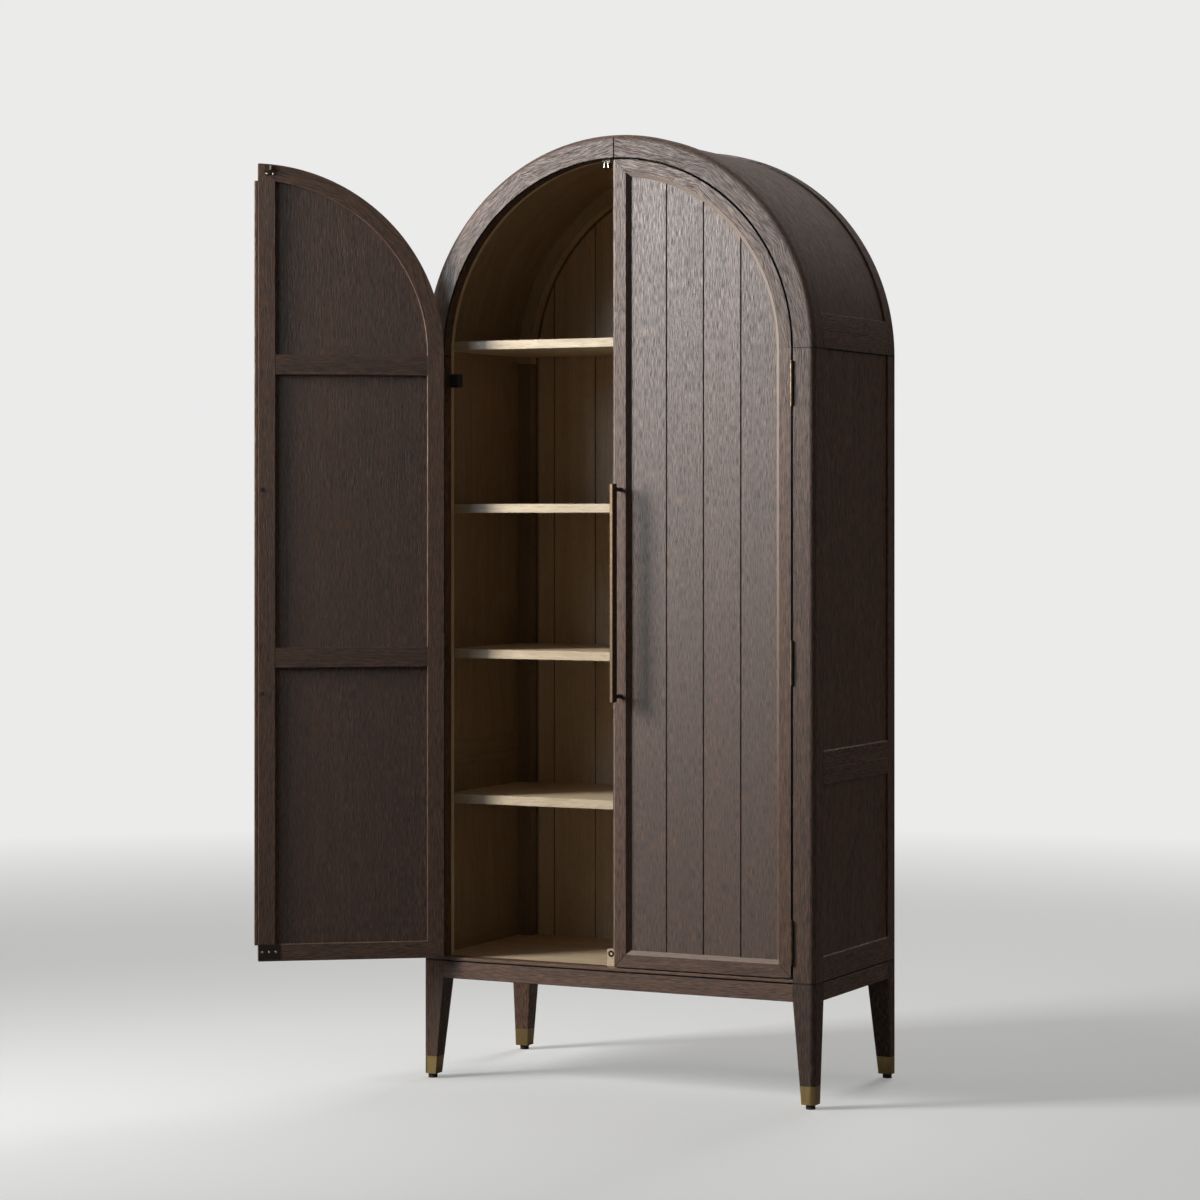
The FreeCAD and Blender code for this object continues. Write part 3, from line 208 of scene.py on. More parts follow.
ROUGH = 0.46
SMOOTHER = 0.08
ROUGH_PORES = 0.16
DARK_LOW = linear(54, 37, 28)
DARK_HIGH = linear(134, 102, 82)
DARK_PORE_COLOUR = linear(34, 25, 19)
# The dark of the joints, also used for the painted shade beside the gap round the doors.
JOINT_AND_SHADE_COLOUR = linear(22, 14, 10)
# Painted highlight on the meeting stile's arris and on the door frames' bevels.
PAINTED_HIGHLIGHT_COLOUR = linear(214, 196, 182)
LIGHT_LOW = linear(200, 173, 134)
LIGHT_HIGH = linear(240, 222, 190)
LIGHT_PORE_COLOUR = linear(140, 96, 54)
# Painted shade that darkens the light wood inside to a brown.
LIGHT_PAINTED_SHADE = linear(96, 66, 34)
# Painted shade in the back boards' grooves and painted shadow along the back's rim.
GROOVE_SHADE_COLOUR = linear(44, 28, 14)

# Lines in the wood, in millimetres: half a joint's width, the inner and outer half width of
# seams, of the painted shade beside the gap round the doors and in grooves, and where the
# painted shadow on the rim of the back lies.
JOINT_HALF = 0.9
SEAM_HALF = (1.6, 3.0)
GAP_SHADE_HALF = (2.8, 3.8)
GROOVE_SHADE_HALF = (0.6, 2.2)
RIM_SHADOW = (INNER_MM - 9, INNER_MM - 3)
# Where the arris's painted highlight lies: its inset from the stile's edge, and its top.
ARRIS_INSET = 0.3
ARRIS_TOP = 2180.0
# The bevel's painted highlight grows stronger between two heights, and has a strength of its own
# at the door's foot.
BEVEL_HIGHLIGHT_HEIGHTS = (700.0, 1750.0)
BEVEL_HIGHLIGHT_RANGE = (0.03, 0.5)
FOOT_HIGHLIGHT = 0.25


def grain_place(net, place, grain):
    """Place in the wood: two ways across the grain, then along it."""
    x, y, z = net.split(place)
    if grain == "X":
        return net.join(y, z, x)
    if grain == "Y":
        return net.join(x, z, y)
    if grain == "Z":
        return place
    rise = net.math("SUBTRACT", z, SPRING_MM)
    angle = net.math("ARCTAN2", x, rise)
    if grain == "bent":
        return net.join(net.length(x, rise), y, net.math("MULTIPLY", angle, WALL_MM))
    piece = net.math("FLOOR", net.math("DIVIDE", angle, SEGMENT))
    lean = net.math("MULTIPLY", net.math("ADD", piece, 0.5), SEGMENT)
    inputs = {"Vector": net.join(x, 0.0, rise)}
    turned = net.node("ShaderNodeVectorRotate", inputs, rotation_type="Y_AXIS")
    net.put(turned.inputs["Angle"], net.math("MULTIPLY", lean, -1.0))
    along, _, across = net.split(turned.outputs[0])
    start = net.math("MULTIPLY", net.chance(piece), SEGMENT_SHIFT)
    return net.join(across, y, net.math("ADD", along, start))


def boards(net, place, pitch, middle, fibres):
    """Moves the wood from board to board, with each board's tone and painted shade in the grooves.
    """
    x = net.split(place)[0]
    number = net.math("DIVIDE", net.math("SUBTRACT", x, middle), pitch)
    luck = net.chance(net.math("FLOOR", number))
    across, along = (net.math("MULTIPLY", luck, step) for step in BOARD_STEP)
    part = net.math("FRACT", number)
    off = net.math("SUBTRACT", 0.5, net.math("ABSOLUTE", net.math("SUBTRACT", part, 0.5)))
    groove_shade = net.ramp(off, GROOVE_SHADE_HALF[0] / pitch, GROOVE_SHADE_HALF[1] / pitch, 0.8, 0.0)
    return net.vector("ADD", fibres, net.join(across, 0.0, along)), luck, groove_shade


def scaled(net, fibres, size):
    """The wood's place in units of a mark's width and length."""
    width, length = size
    return net.vector("MULTIPLY", fibres, (1 / width, 1 / width, 1 / length))


def oak_marks(net, fibres):
    """The marks of open-grained oak: broad figure, growth lines, streaks, flecks and pores."""
    sway = net.noise(scaled(net, fibres, SWAY), 1.0)
    turns = net.math("DIVIDE", net.split(fibres)[0], RING_WIDTH)
    phase = net.math("ADD", turns, net.math("MULTIPLY", sway, RING_SWAY))
    return {
        "figure": net.noise(scaled(net, fibres, FIGURE), 2.0),
        "growth": net.math("MULTIPLY_ADD", net.math("SINE", phase), 0.5, 0.5),
        "streaks": net.noise(scaled(net, fibres, STREAK), 2.0, 0.6),
        "flecks": net.noise(scaled(net, fibres, FLECK), 1.0, 0.6),
        "pores": net.ramp(net.noise(scaled(net, fibres, PORE), 1.0), 0.54, 0.66),
    }


def weighed(net, marks, weights, middle=0.5, bold=1.0):
    """A sum of marks about a middle, each with its weight, held from 0 to 1."""
    total = middle
    for name, weight in weights.items():
        if name in BOLD_MARKS:
            weight *= bold
        off = net.math("SUBTRACT", marks[name], 0.5)
        total = net.math("ADD", total, net.math("MULTIPLY", off, weight))
    return net.math("MAXIMUM", net.math("MINIMUM", total, 1.0), 0.0)


def wood(name, grain, door=None, board=None, coat="two", seed=0, lift=0.0, gloss=0.35, bold=0.75,
         mitres=(), arris=None, painted_shade=0.0, seams=(), bevel=False, gap=False):
    """Oak with its grain along one way: stained dark, plain light, or dark with a light inside.

    The lift moves the dark tone up or down, the gloss is the strength of the sheen, and the
    dark wood's streaks and flecks are as strong as bold says. Mitres are lines where a thin
    joint shows dark, seams are the heights of level joints, and the arris is the line of an
    edge given a painted highlight, as is a door frame's bevel. Beside the gap between doors and
    frame the edges get painted shade. The light wood is darkened to a brown by its share of
    painted shade. A board is a pitch and the place of one of its grooves, which get painted shade.
    """
    net = Net(name)
    place = cabinet_place(net, door)
    fibres = grain_place(net, place, grain)
    fibres = net.vector("ADD", fibres, tuple(seed * step for step in SEED_STEP))
    shade, groove_shade = 0.5, None
    if board is not None:
        fibres, shade, groove_shade = boards(net, place, *board, fibres)
    marks = oak_marks(net, fibres)
    marks["shade"] = shade
    tone = weighed(net, marks, DARK_WEIGHTS, 0.5 + lift, bold)
    dark = net.mix(tone, DARK_LOW, DARK_HIGH)
    dark = net.mix(net.math("MULTIPLY", marks["pores"], DARK_PORES), dark, DARK_PORE_COLOUR)
    for share, colour in dark_lines(net, place, mitres, arris, seams, bevel, gap):
        dark = net.mix(share, dark, colour)
    light = light_colour(net, place, marks, painted_shade, groove_shade)
    if coat == "two":
        colour = net.mix(inside_share(net, place), dark, light)
    else:
        colour = dark if coat == "dark" else light
    net.put(net.shader.inputs["Base Color"], colour)
    rough = net.ramp(tone, 0.2, 0.8, ROUGH + SMOOTHER, ROUGH - SMOOTHER)
    rough = net.math("MULTIPLY_ADD", marks["pores"], ROUGH_PORES, rough)
    net.put(net.shader.inputs["Roughness"], rough)
    net.shader.inputs["Specular IOR Level"].default_value = gloss
    raised = net.math("MULTIPLY", marks["streaks"], 0.6)
    raised = net.math("ADD", raised, net.math("MULTIPLY", marks["flecks"], 0.5))
    relief = net.math("SUBTRACT", raised, net.math("MULTIPLY", marks["pores"], 0.7))
    strength = LIGHT_RELIEF if coat == "light" else DARK_RELIEF
    net.put(net.shader.inputs["Normal"], net.bump(relief, strength, RELIEF_DEPTH))
    return net.material


def dark_lines(net, place, mitres, arris, seams, bevel, gap):
    """What stands out from the dark wood, each as its share and its colour: dark joints, a painted
    highlight on the arris and the bevel, and painted shade beside the gap.
    """
    lines = [(joint_share(net, place, line), JOINT_AND_SHADE_COLOUR) for line in mitres]
    if arris is not None:
        lines.append((joint_share(net, place, arris), PAINTED_HIGHLIGHT_COLOUR))
    lines += [(seam_share(net, place, height), JOINT_AND_SHADE_COLOUR) for height in seams]
    if bevel:
        lines.append((bevel_highlight_share(net, place), PAINTED_HIGHLIGHT_COLOUR))
    if gap:
        lines.append((gap_shade_share(net, place), JOINT_AND_SHADE_COLOUR))
    return lines


def light_colour(net, place, marks, painted_shade, groove_shade):
    """The colour of the light wood with its share of painted shade, and where it is of boards,
    painted shade in its grooves and a painted shadow along its rim.
    """
    light = net.mix(weighed(net, marks, LIGHT_WEIGHTS), LIGHT_LOW, LIGHT_HIGH)
    light = net.mix(net.math("MULTIPLY", marks["pores"], LIGHT_PORES), light, LIGHT_PORE_COLOUR)
    light = net.mix(painted_shade, light, LIGHT_PAINTED_SHADE)
    if groove_shade is None:
        return light
    return net.mix(net.math("MAXIMUM", groove_shade, rim_shadow_share(net, place)), light, GROOVE_SHADE_COLOUR)


def mitre_lines(side):
    """The three mitres on a door's front, each as two points in millimetres."""
    sign = SIDES[side]
    hinge_edge = sign * DOOR_EDGE_MM
    middle_edge = MEETING_EDGE[side]
    corner = middle_edge + sign * STILE
    outer_rise = math.sqrt(DOOR_EDGE_MM ** 2 - middle_edge ** 2)
    inner_rise = math.sqrt((DOOR_EDGE_MM - STILE) ** 2 - corner ** 2)
    crown = ((middle_edge, SPRING_MM + outer_rise), (corner, SPRING_MM + inner_rise))
    feet = [((edge, DOOR_LOW), (edge + way * STILE, DOOR_LOW + STILE))
            for edge, way in ((middle_edge, sign), (hinge_edge, -sign))]
    return [crown] + feet


def joint_share(net, place, line):
    """One along a thin straight joint on the door's front, else nought."""
    x, y, z = net.split(place)
    (x1, z1), (x2, z2) = line
    length = math.hypot(x2 - x1, z2 - z1)
    across = ((z1 - z2) / length, (x2 - x1) / length)
    off = net.math("MULTIPLY_ADD", x, across[0], net.math("MULTIPLY", z, across[1]))
    off = net.math("SUBTRACT", off, x1 * across[0] + z1 * across[1])
    off = net.math("ABSOLUTE", off)
    share = net.ramp(off, 0.5 * JOINT_HALF, 1.5 * JOINT_HALF, 0.85, 0.0)
    share = net.math("MULTIPLY", share, net.math("LESS_THAN", y, FRONT_MM + 4))
    from_middle = net.math("ABSOLUTE", net.math("SUBTRACT", z, (z1 + z2) / 2))
    on_line = net.math("LESS_THAN", from_middle, abs(z2 - z1) / 2 + 1)
    return net.math("MULTIPLY", share, on_line)


def seam_share(net, place, height):
    """One along a thin level joint, else nought."""
    off = net.math("ABSOLUTE", net.math("SUBTRACT", net.split(place)[2], height))
    return net.ramp(off, *SEAM_HALF, 1.0, 0.0)


def gap_shade_share(net, place):
    """Painted shade: one on the front edges beside the gap between the doors and their frame."""
    x, y, z = net.split(place)
    middle = (DOOR_EDGE_MM + INNER_MM) / 2
    off = net.math("ABSOLUTE", net.math("SUBTRACT", from_axis(net, x, z), middle))
    share = net.ramp(off, *GAP_SHADE_HALF, 1.0, 0.0)
    return net.math("MULTIPLY", share, net.math("LESS_THAN", y, FRONT_MM + 8))


def rim_shadow_share(net, place):
    """Painted shadow: one along the rim of the back, where it runs behind the posts and the arch.
    """
    x, _, z = net.split(place)
    return net.ramp(from_axis(net, x, z), *RIM_SHADOW, 0.0, 0.75)


def bevel_highlight_share(net, place):
    """Painted highlight: a part of one on the bevel inside a door's frame, at its hinges, arch and
    foot, stronger higher up.
    """
    x, y, z = net.split(place)
    inward = net.math("SUBTRACT", from_axis(net, x, z), DOOR_EDGE_MM - STILE)
    side = net.math("LESS_THAN", inward, BEVEL)
    foot = net.math("GREATER_THAN", z, DOOR_LOW + STILE - BEVEL)
    share = net.math("MULTIPLY", side, foot)
    at_foot = net.math("LESS_THAN", z, DOOR_LOW + STILE)
    by_height = net.ramp(z, *BEVEL_HIGHLIGHT_HEIGHTS, *BEVEL_HIGHLIGHT_RANGE)
    highlight = net.math("MAXIMUM", by_height, net.math("MULTIPLY", at_foot, FOOT_HIGHLIGHT))
    share = net.math("MULTIPLY", share, highlight)
    return net.math("MULTIPLY", share, net.math("LESS_THAN", y, FRONT_MM + BEVEL))


def inside_share(net, place):
    """One inside the cupboard and behind the dark front of its posts, else nought."""
    x, y, z = net.split(place)
    share = net.math("LESS_THAN", from_axis(net, x, z), WALL_MM + 0.6)
    for value, operation, limit in (
        (y, "GREATER_THAN", INSIDE_FRONT),
        (y, "LESS_THAN", BACK_MM + 3.5),
        (z, "GREATER_THAN", INSIDE_LOW),
    ):
        share = net.math("MULTIPLY", share, net.math(operation, value, limit))
    return share


# Metal and plastic

BRUSH = (0.25, 30.0)
BRUSH_COLOUR = (0.02, 0.015, 0.01, 1.0)
# Cells of a texture in a millimetre.
METAL_CLOUD = (0.09, 0.09, 0.09)
PLASTIC_CLOUD = (0.12, 0.12, 0.12)
PLASTIC_GRIT = (2.2, 2.2, 2.2)
STRIKE_GRIT = (1.4, 1.4, 1.4)
FINE_RELIEF = 0.0001
MAGNET_RING_COLOUR = linear(38, 17, 11)
MAGNET_CORE_COLOUR = linear(196, 174, 154)
STRIKE_COLOUR = linear(66, 56, 47)
STRIKE_WORN = linear(96, 84, 72)
SPEAR_COLOUR = linear(214, 208, 198)


def metal(name, colour, worn, roughness, brushed, wear):
    """Brushed metal with an uneven, slightly worn finish."""
    net = Net(name)
    place = cabinet_place(net)
    x, y, z = net.split(place)
    width, length = BRUSH
    lines = scaled(net, place, BRUSH) if brushed == "Z" else net.join(
        net.math("DIVIDE", x, length), net.math("DIVIDE", y, length), net.math("DIVIDE", z, width))
    brush = net.noise(lines, 1.0)
    cloud = net.noise(net.vector("MULTIPLY", place, METAL_CLOUD), 4.0, 0.6)
    share = net.ramp(cloud, 0.42, 0.66, 0.0, wear)
    tone = net.mix(share, colour, worn)
    tone = net.mix(net.ramp(brush, 0.3, 0.7, 0.0, 0.18), tone, BRUSH_COLOUR)
    rough = net.ramp(cloud, 0.3, 0.7, roughness + 0.08, roughness - 0.06)
    net.put(net.shader.inputs["Base Color"], tone)
    net.shader.inputs["Metallic"].default_value = 1.0
    net.put(net.shader.inputs["Roughness"], rough)
    net.put(net.shader.inputs["Normal"], net.bump(brush, 0.12, FINE_RELIEF))
    return net.material


def magnet_metal():
    """Pale cores in dark cups."""
    net = Net("magnet_plate")
    x, _, z = net.split(cabinet_place(net))
    aside = net.math("SUBTRACT", net.math("ABSOLUTE", x), MAGNET_ASIDE)
    off = net.length(aside, net.math("SUBTRACT", z, MAGNET_HEIGHT))
    share = net.math("LESS_THAN", off, MAGNET_CORE)
    colour = net.mix(share, MAGNET_RING_COLOUR, MAGNET_CORE_COLOUR)
    net.put(net.shader.inputs["Base Color"], colour)
    net.put(net.shader.inputs["Metallic"], share)
    net.shader.inputs["Roughness"].default_value = 0.5
    net.shader.inputs["Specular IOR Level"].default_value = 0.2
    return net.material


def strike_metal(side):
    """Satin dark plates, with the spear of the upper one bright."""
    net = Net(side + "_strike_plate")
    place = cabinet_place(net, side)
    grit = net.noise(net.vector("MULTIPLY", place, STRIKE_GRIT), 2.0)
    share = net.math("GREATER_THAN", net.split(place)[1], DOOR_REAR_MM + SPEAR_BASE)
    worn = net.mix(net.ramp(grit, 0.5, 0.7), STRIKE_COLOUR, STRIKE_WORN)
    net.put(net.shader.inputs["Base Color"], net.mix(share, worn, SPEAR_COLOUR))
    net.shader.inputs["Metallic"].default_value = 1.0
    net.put(net.shader.inputs["Roughness"], net.ramp(grit, 0.3, 0.7, 0.3, 0.45))
    return net.material


def plastic(name, colour, roughness, metallic=0.0):
    """Moulded plastic or painted metal with a fine texture."""
    net = Net(name)
    place = cabinet_place(net)
    grit = net.noise(net.vector("MULTIPLY", place, PLASTIC_GRIT), 2.0)
    cloud = net.noise(net.vector("MULTIPLY", place, PLASTIC_CLOUD), 2.0)
    lighter = tuple(min(1.0, 1.5 * part) for part in colour[:3]) + (1.0,)
    rough = net.ramp(grit, 0.3, 0.7, roughness - 0.05, roughness + 0.08)
    net.put(net.shader.inputs["Base Color"], net.mix(cloud, colour, lighter))
    net.put(net.shader.inputs["Roughness"], rough)
    net.shader.inputs["Metallic"].default_value = metallic
    net.put(net.shader.inputs["Normal"], net.bump(grit, 0.2, FINE_RELIEF))
    return net.material


# Materials on the CAD nodes

# The order of these names gives each node its part of the tree.
ROOT_GRAIN = {
    "X": ("long_aprons", "front_sill", "rear_bottom_rail", "bottom_deck"),
    "Y": (
        "side_aprons", "side_rails_left", "side_rails_right",
        "arch_rails_left", "arch_rails_right",
    ),
    "bent": ("roof_panel",),
    "ring": ("front_arch_left", "front_arch_right", "rear_arch_left", "rear_arch_right"),
    "Z": (
        "front_leg_left", "front_leg_right", "rear_leg_left", "rear_leg_right",
        "front_post_left", "front_post_right", "rear_post_left", "rear_post_right",
        "side_panels_left", "side_panels_right",
    ),
}
BACK_NODES = ("back_panel_lower", "back_panel_arch")
BACK_SEED = 40
LIGHT_NODES = ("fixed_shelf", "adjustable_shelves", "stop_block", "corner_blocks")
DOOR_GRAIN = {
    "hinge_stile": "Z", "meeting_stile": "Z", "meeting_strip": "Z", "panel": "Z",
    "bottom_rail": "X", "cross_rails": "X", "arch_rail": "ring",
}

# Looks by a node's name, or by its name without its side.
LIFTS = {
    "front_post": -0.1, "front_arch": -0.15, "rear_arch": -0.15, "front_leg_right": -0.3,
    "rear_leg_right": -0.3, "front_sill": 0.4, "long_aprons": 0.15,
}
# Shares of painted shade on the light inner faces of posts, arches, side panels, rails and roof.
PAINTED_SHADE = {
    "rear_post": 0.7, "rear_arch": 0.15, "side_panels": 0.6, "side_rails": 0.6,
    "arch_rails": 0.6, "roof_panel": 0.6,
}
SEAMS = (SPRING_MM, CARCASS_LOW)
SEAMLESS = ("roof_panel", "side_panels_left", "side_panels_right", "bottom_deck")
# Nodes with painted shade on their front edges beside the gap round the doors.
GAP_SHADED = ("front_post", "front_arch")
ARCH_BOLD = 0.6
DOOR_LIFTS = {"hinge_stile": 0.1, "bottom_rail": 0.05, "cross_rails": -0.15, "panel": -0.1}
PANEL_BOLD = 1.0
PANEL_GLOSS = {"left": 0.4, "right": 0.6}
MITRED = ("hinge_stile", "meeting_stile", "arch_rail", "bottom_rail")
# Door nodes with painted shade on their front edges beside the gap.
DOOR_GAP_SHADED = ("hinge_stile", "arch_rail")

HINGE_NODES = (
    "hinge_frame_leaves", "hinge_pins", "left_door_hinge_leaves", "right_door_hinge_leaves",
)


def dress(node, material):
    """Gives a CAD node its material on every slot."""
    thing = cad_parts[node]
    if not thing.material_slots:
        thing.data.materials.append(material)
    for held in thing.material_slots:
        held.material = material


def by_name(table, node):
    """A node's number in a table that names it, or its kind for both sides, else nought."""
    kind = node.removesuffix("_left").removesuffix("_right")
    return table.get(node, table.get(kind, 0.0))


def dress_wood():
    """Oak for every wooden node, each with its own part of the tree."""
    seeds = itertools.count(1)
    for grain, nodes in ROOT_GRAIN.items():
        for node in nodes:
            look = {
                "lift": by_name(LIFTS, node),
                "painted_shade": by_name(PAINTED_SHADE, node),
                "gap": node.startswith(GAP_SHADED),
            }
            if grain == "ring":
                look["bold"] = ARCH_BOLD
            if node not in SEAMLESS:
                look["seams"] = SEAMS
            dress(node, wood("oak_" + node, grain, seed=next(seeds), **look))
    for node in BACK_NODES:
        board = (BACK_BOARD, BACK_BOARD / 2)
        dress(node, wood("oak_" + node, "Z", board=board, seed=BACK_SEED))
    for node in LIGHT_NODES:
        dress(node, wood("oak_" + node, "X", coat="light", seed=next(seeds)))
    for side in SIDES:
        for name, grain in DOOR_GRAIN.items():
            node = "%s_door_%s" % (side, name)
            look = door_look(side, name)
            dress(node, wood("oak_" + node, grain, side, coat="dark", seed=next(seeds), **look))


def door_look(side, name):
    """What sets the wood of a door's node apart."""
    sign = SIDES[side]
    look = {"lift": DOOR_LIFTS.get(name, 0.0)}
    if name == "panel":
        panel_edges = (sign * (DOOR_EDGE_MM - STILE), MEETING_EDGE[side] + sign * STILE)
        look["board"] = (DOOR_BOARD, sum(panel_edges) / 2)
        look["bold"] = PANEL_BOLD
        look["gloss"] = PANEL_GLOSS[side]
    # Mitres are dark joints; the bevel gets a painted highlight, and the hinge stile and arch rail
    # painted shade beside the gap.
    if name in MITRED:
        look["mitres"] = mitre_lines(side)
        look["bevel"] = name != "meeting_stile"
        look["gap"] = name in DOOR_GAP_SHADED
    # The meeting stile's arris gets a painted highlight.
    if name == "meeting_stile":
        edge = MEETING_EDGE[side] + sign * ARRIS_INSET
        look["arris"] = ((edge, DOOR_LOW), (edge, ARRIS_TOP))
    return look


def dress_metal():
    """Metals and plastics."""
    brass = metal("ferrule_brass", linear(182, 154, 104), linear(204, 176, 124), 0.36, "X", 0.6)
    dress("leg_ferrules", brass)
    bronze = metal("hinge_bronze", linear(88, 73, 60), linear(150, 132, 112), 0.42, "Z", 0.5)
    for node in HINGE_NODES:
        dress(node, bronze)
    steel = metal("bright_plate", linear(166, 162, 154), linear(190, 186, 178), 0.34, "X", 0.5)
    for node in ("top_catches", "shelf_pins"):
        dress(node, steel)
    dress("magnet_catches", magnet_metal())
    handle = metal("handle_brass", linear(98, 82, 65), linear(128, 110, 90), 0.44, "Z", 0.6)
    black = plastic("black_metal", linear(30, 27, 25), 0.42)
    for side in SIDES:
        dress(side + "_door_strikes", strike_metal(side))
        dress(side + "_door_handle_bar", handle)
        dress(side + "_door_handle_fixings", black)
    dark = plastic("dark_plastic", linear(34, 30, 27), 0.55)
    dress("leg_glides", dark)
    dress("joint_knobs", dark)


# Screw heads, in metres

# A head's corners, its height and how deep it is sunk, and each screw's turn from the last.
HEAD_CORNERS = 24
HEAD_HEIGHT = 0.0004
HEAD_SUNK = 0.0008
HEAD_TURN = 0.7
# Shares of the radius for the flat top and the cross, then shares of height, mouth and depth.
HEAD_TOP = 0.86
CROSS_ARM = 0.62
CROSS_HALF = 0.17
EDGE_SHARE = 0.35
CROSS_FLOOR = 0.8
CROSS_DEPTH = 0.5

# Height and depth of a hinge leaf's three screws from its middle.
LEAF_MIDDLE = -0.2412
LEAF_SCREWS = ((-0.036, -0.002), (0.0, 0.004), (0.036, -0.002))
HINGE_SCREW = 0.0032
# Screws in a door's rear: how far each stands proud, where it is, and its radius.
STRIKE_PROUD, STRIKE_HEIGHT, STRIKE_SCREW = 0.0015, 2.1585, 0.0022
STRIKE_ASIDE = (0.036 - 0.0075, 0.036 + 0.0075)
PLATE_PROUD, PLATE_HEIGHT, PLATE_SCREW = 0.001, 0.318, 0.0024
PLATE_ASIDE = (0.018, 0.034, 0.05)
HANDLE_PROUD, HANDLE_ASIDE, HANDLE_SCREW = 0.0004, 0.018, 0.0048
HANDLE_HEIGHTS = (0.929, 1.411)


def body_matrix(body):
    """From the cabinet's closed places to the row frame at rest."""
    move = Matrix.Translation(CENTRE)
    if body != "left_door":
        return move
    pivot = Vector((-HINGE_PLACE.x, HINGE_PLACE.y, 0))
    spin = Matrix.Rotation(-REST_ANGLE, 4, "Z")
    turn = Matrix.Translation(pivot) @ spin @ Matrix.Translation(-pivot)
    return move @ turn


def piece(name, body, made, slot, material):
    """Makes an object of a mesh and lets it ride on its body."""
    mesh = bpy.data.meshes.new(name)
    made.transform(body_matrix(body))
    made.to_mesh(mesh)
    made.free()
    thing = bpy.data.objects.new(name, mesh)
    bpy.context.scene.collection.objects.link(thing)
    mesh.materials.append(material)
    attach(thing, body)


def add_screw(made, place, outward, radius, turn):
    """A countersunk head with a cross recess, as a closed shape."""
    aim = Vector(outward).to_track_quat("Z", "X").to_matrix().to_4x4()
    matrix = Matrix.Translation(Vector(place)) @ aim @ Matrix.Rotation(turn, 4, "Z")

    def loop(points, level):
        return [made.verts.new(matrix @ Vector((x, y, level))) for x, y in points]

    def band(low, high):
        for n in range(len(low)):
            after = (n + 1) % len(low)
            made.faces.new((low[n], low[after], high[after], high[n]))

    angles = [2 * math.pi * n / HEAD_CORNERS for n in range(HEAD_CORNERS)]
    circle = [(math.cos(angle), math.sin(angle)) for angle in angles]
    outer = [(radius * x, radius * y) for x, y in circle]
    dome = [(radius * HEAD_TOP * x, radius * HEAD_TOP * y) for x, y in circle]
    arm, half = radius * CROSS_ARM, radius * CROSS_HALF
    cross = []
    for quarter in range(4):
        spin = Matrix.Rotation(quarter * math.pi / 2, 2)
        for point in ((half, half), (half, arm), (-half, arm)):
            cross.append(tuple(spin @ Vector(point)))
    base = loop(outer, -HEAD_SUNK)
    edge = loop(outer, HEAD_HEIGHT * EDGE_SHARE)
    top = loop(dome, HEAD_HEIGHT)
    mouth = loop(cross, HEAD_HEIGHT)
    floor = loop([(x * CROSS_FLOOR, y * CROSS_FLOOR) for x, y in cross], -HEAD_SUNK * CROSS_DEPTH)
    band(base, edge)
    band(edge, top)
    band(floor, mouth)
    made.faces.new(list(reversed(base)))
    made.faces.new(floor)
    edges = []
    for ring in (top, mouth):
        for n in range(len(ring)):
            pair = (ring[n], ring[(n + 1) % len(ring)])
            edges.append(made.edges.get(pair) or made.edges.new(pair))
    upward = matrix.to_3x3() @ Vector((0, 0, 1))
    bmesh.ops.triangle_fill(made, edges=edges, use_beauty=True, normal=upward)


def screws(name, body, places, radius, slot, material):
    """Several screw heads on one body."""
    made = bmesh.new()
    for number, (place, outward) in enumerate(places):
        add_screw(made, place, outward, radius, HEAD_TURN * number)
    bmesh.ops.recalc_face_normals(made, faces=made.faces)
    piece(name, body, made, slot, material)


def rear_places(sign, proud, asides, heights):
    """Places of screws in a door's rear, which look backward."""
    y = DOOR_REAR + proud
    return [((sign * aside, y, height), (0, 1, 0)) for height in heights for aside in asides]


def add_screws():
    """Screws of the hinges, strikes, magnet plates and pulls."""
    bronze = metal("screw_bronze", linear(120, 98, 74), linear(176, 150, 116), 0.34, "X", 0.4)
    steel = plastic("screw_steel", linear(196, 190, 180), 0.4, 0.4)
    black = plastic("screw_black", linear(26, 22, 19), 0.4, 1.0)
    frame_places = []
    for side, sign in SIDES.items():
        door_places = []
        for middle in HINGE_HEIGHTS:
            for rise, depth in LEAF_SCREWS:
                y, z = LEAF_MIDDLE + depth, middle + rise
                frame_places.append(((sign * INNER, y, z), (-sign, 0, 0)))
                door_places.append(((sign * DOOR_EDGE, y, z), (sign, 0, 0)))
        strikes = rear_places(sign, STRIKE_PROUD, STRIKE_ASIDE, (STRIKE_HEIGHT,))
        plates = rear_places(sign, PLATE_PROUD, PLATE_ASIDE, (PLATE_HEIGHT,))
        heads = rear_places(sign, HANDLE_PROUD, (HANDLE_ASIDE,), HANDLE_HEIGHTS)
        for kind, places, radius, slot, material in (
            ("hinge", door_places, HINGE_SCREW, "dark_bronze", bronze),
            ("strike", strikes, STRIKE_SCREW, "bright_steel", steel),
            ("plate", plates, PLATE_SCREW, "bright_steel", steel),
            ("handle", heads, HANDLE_SCREW, "black_metal", black),
        ):
            body = side + "_door"
            screws("%s_%s_screws" % (body, kind), body, places, radius, slot, material)
    screws("frame_hinge_screws", "cabinet", frame_places, HINGE_SCREW, "dark_bronze", bronze)


# Stage, light and camera

BACKGROUND = (0.83, 0.83, 0.825, 1.0)
MIRRORED_LOW = (0.07, 0.07, 0.07, 1.0)
MIRRORED_HIGH = (0.9, 0.9, 0.9, 1.0)
# Rise of a mirrored ray, as a share of its length, from where the ceiling shows.
CEILING_RISE = (0.2, 0.7)
FILL = (0.04, 0.04, 0.04, 1.0)
FLOOR_PALE = (0.68, 0.68, 0.67, 1.0)
FLOOR_BOUNCE = (0.2, 0.2, 0.2, 1.0)
FLOOR_GLOW = (0.24, 0.24, 0.237, 1.0)
FLOOR_SIZE = 120
FLOOR_ROUGH = 0.7
FLOOR_GLOSS = 0.05
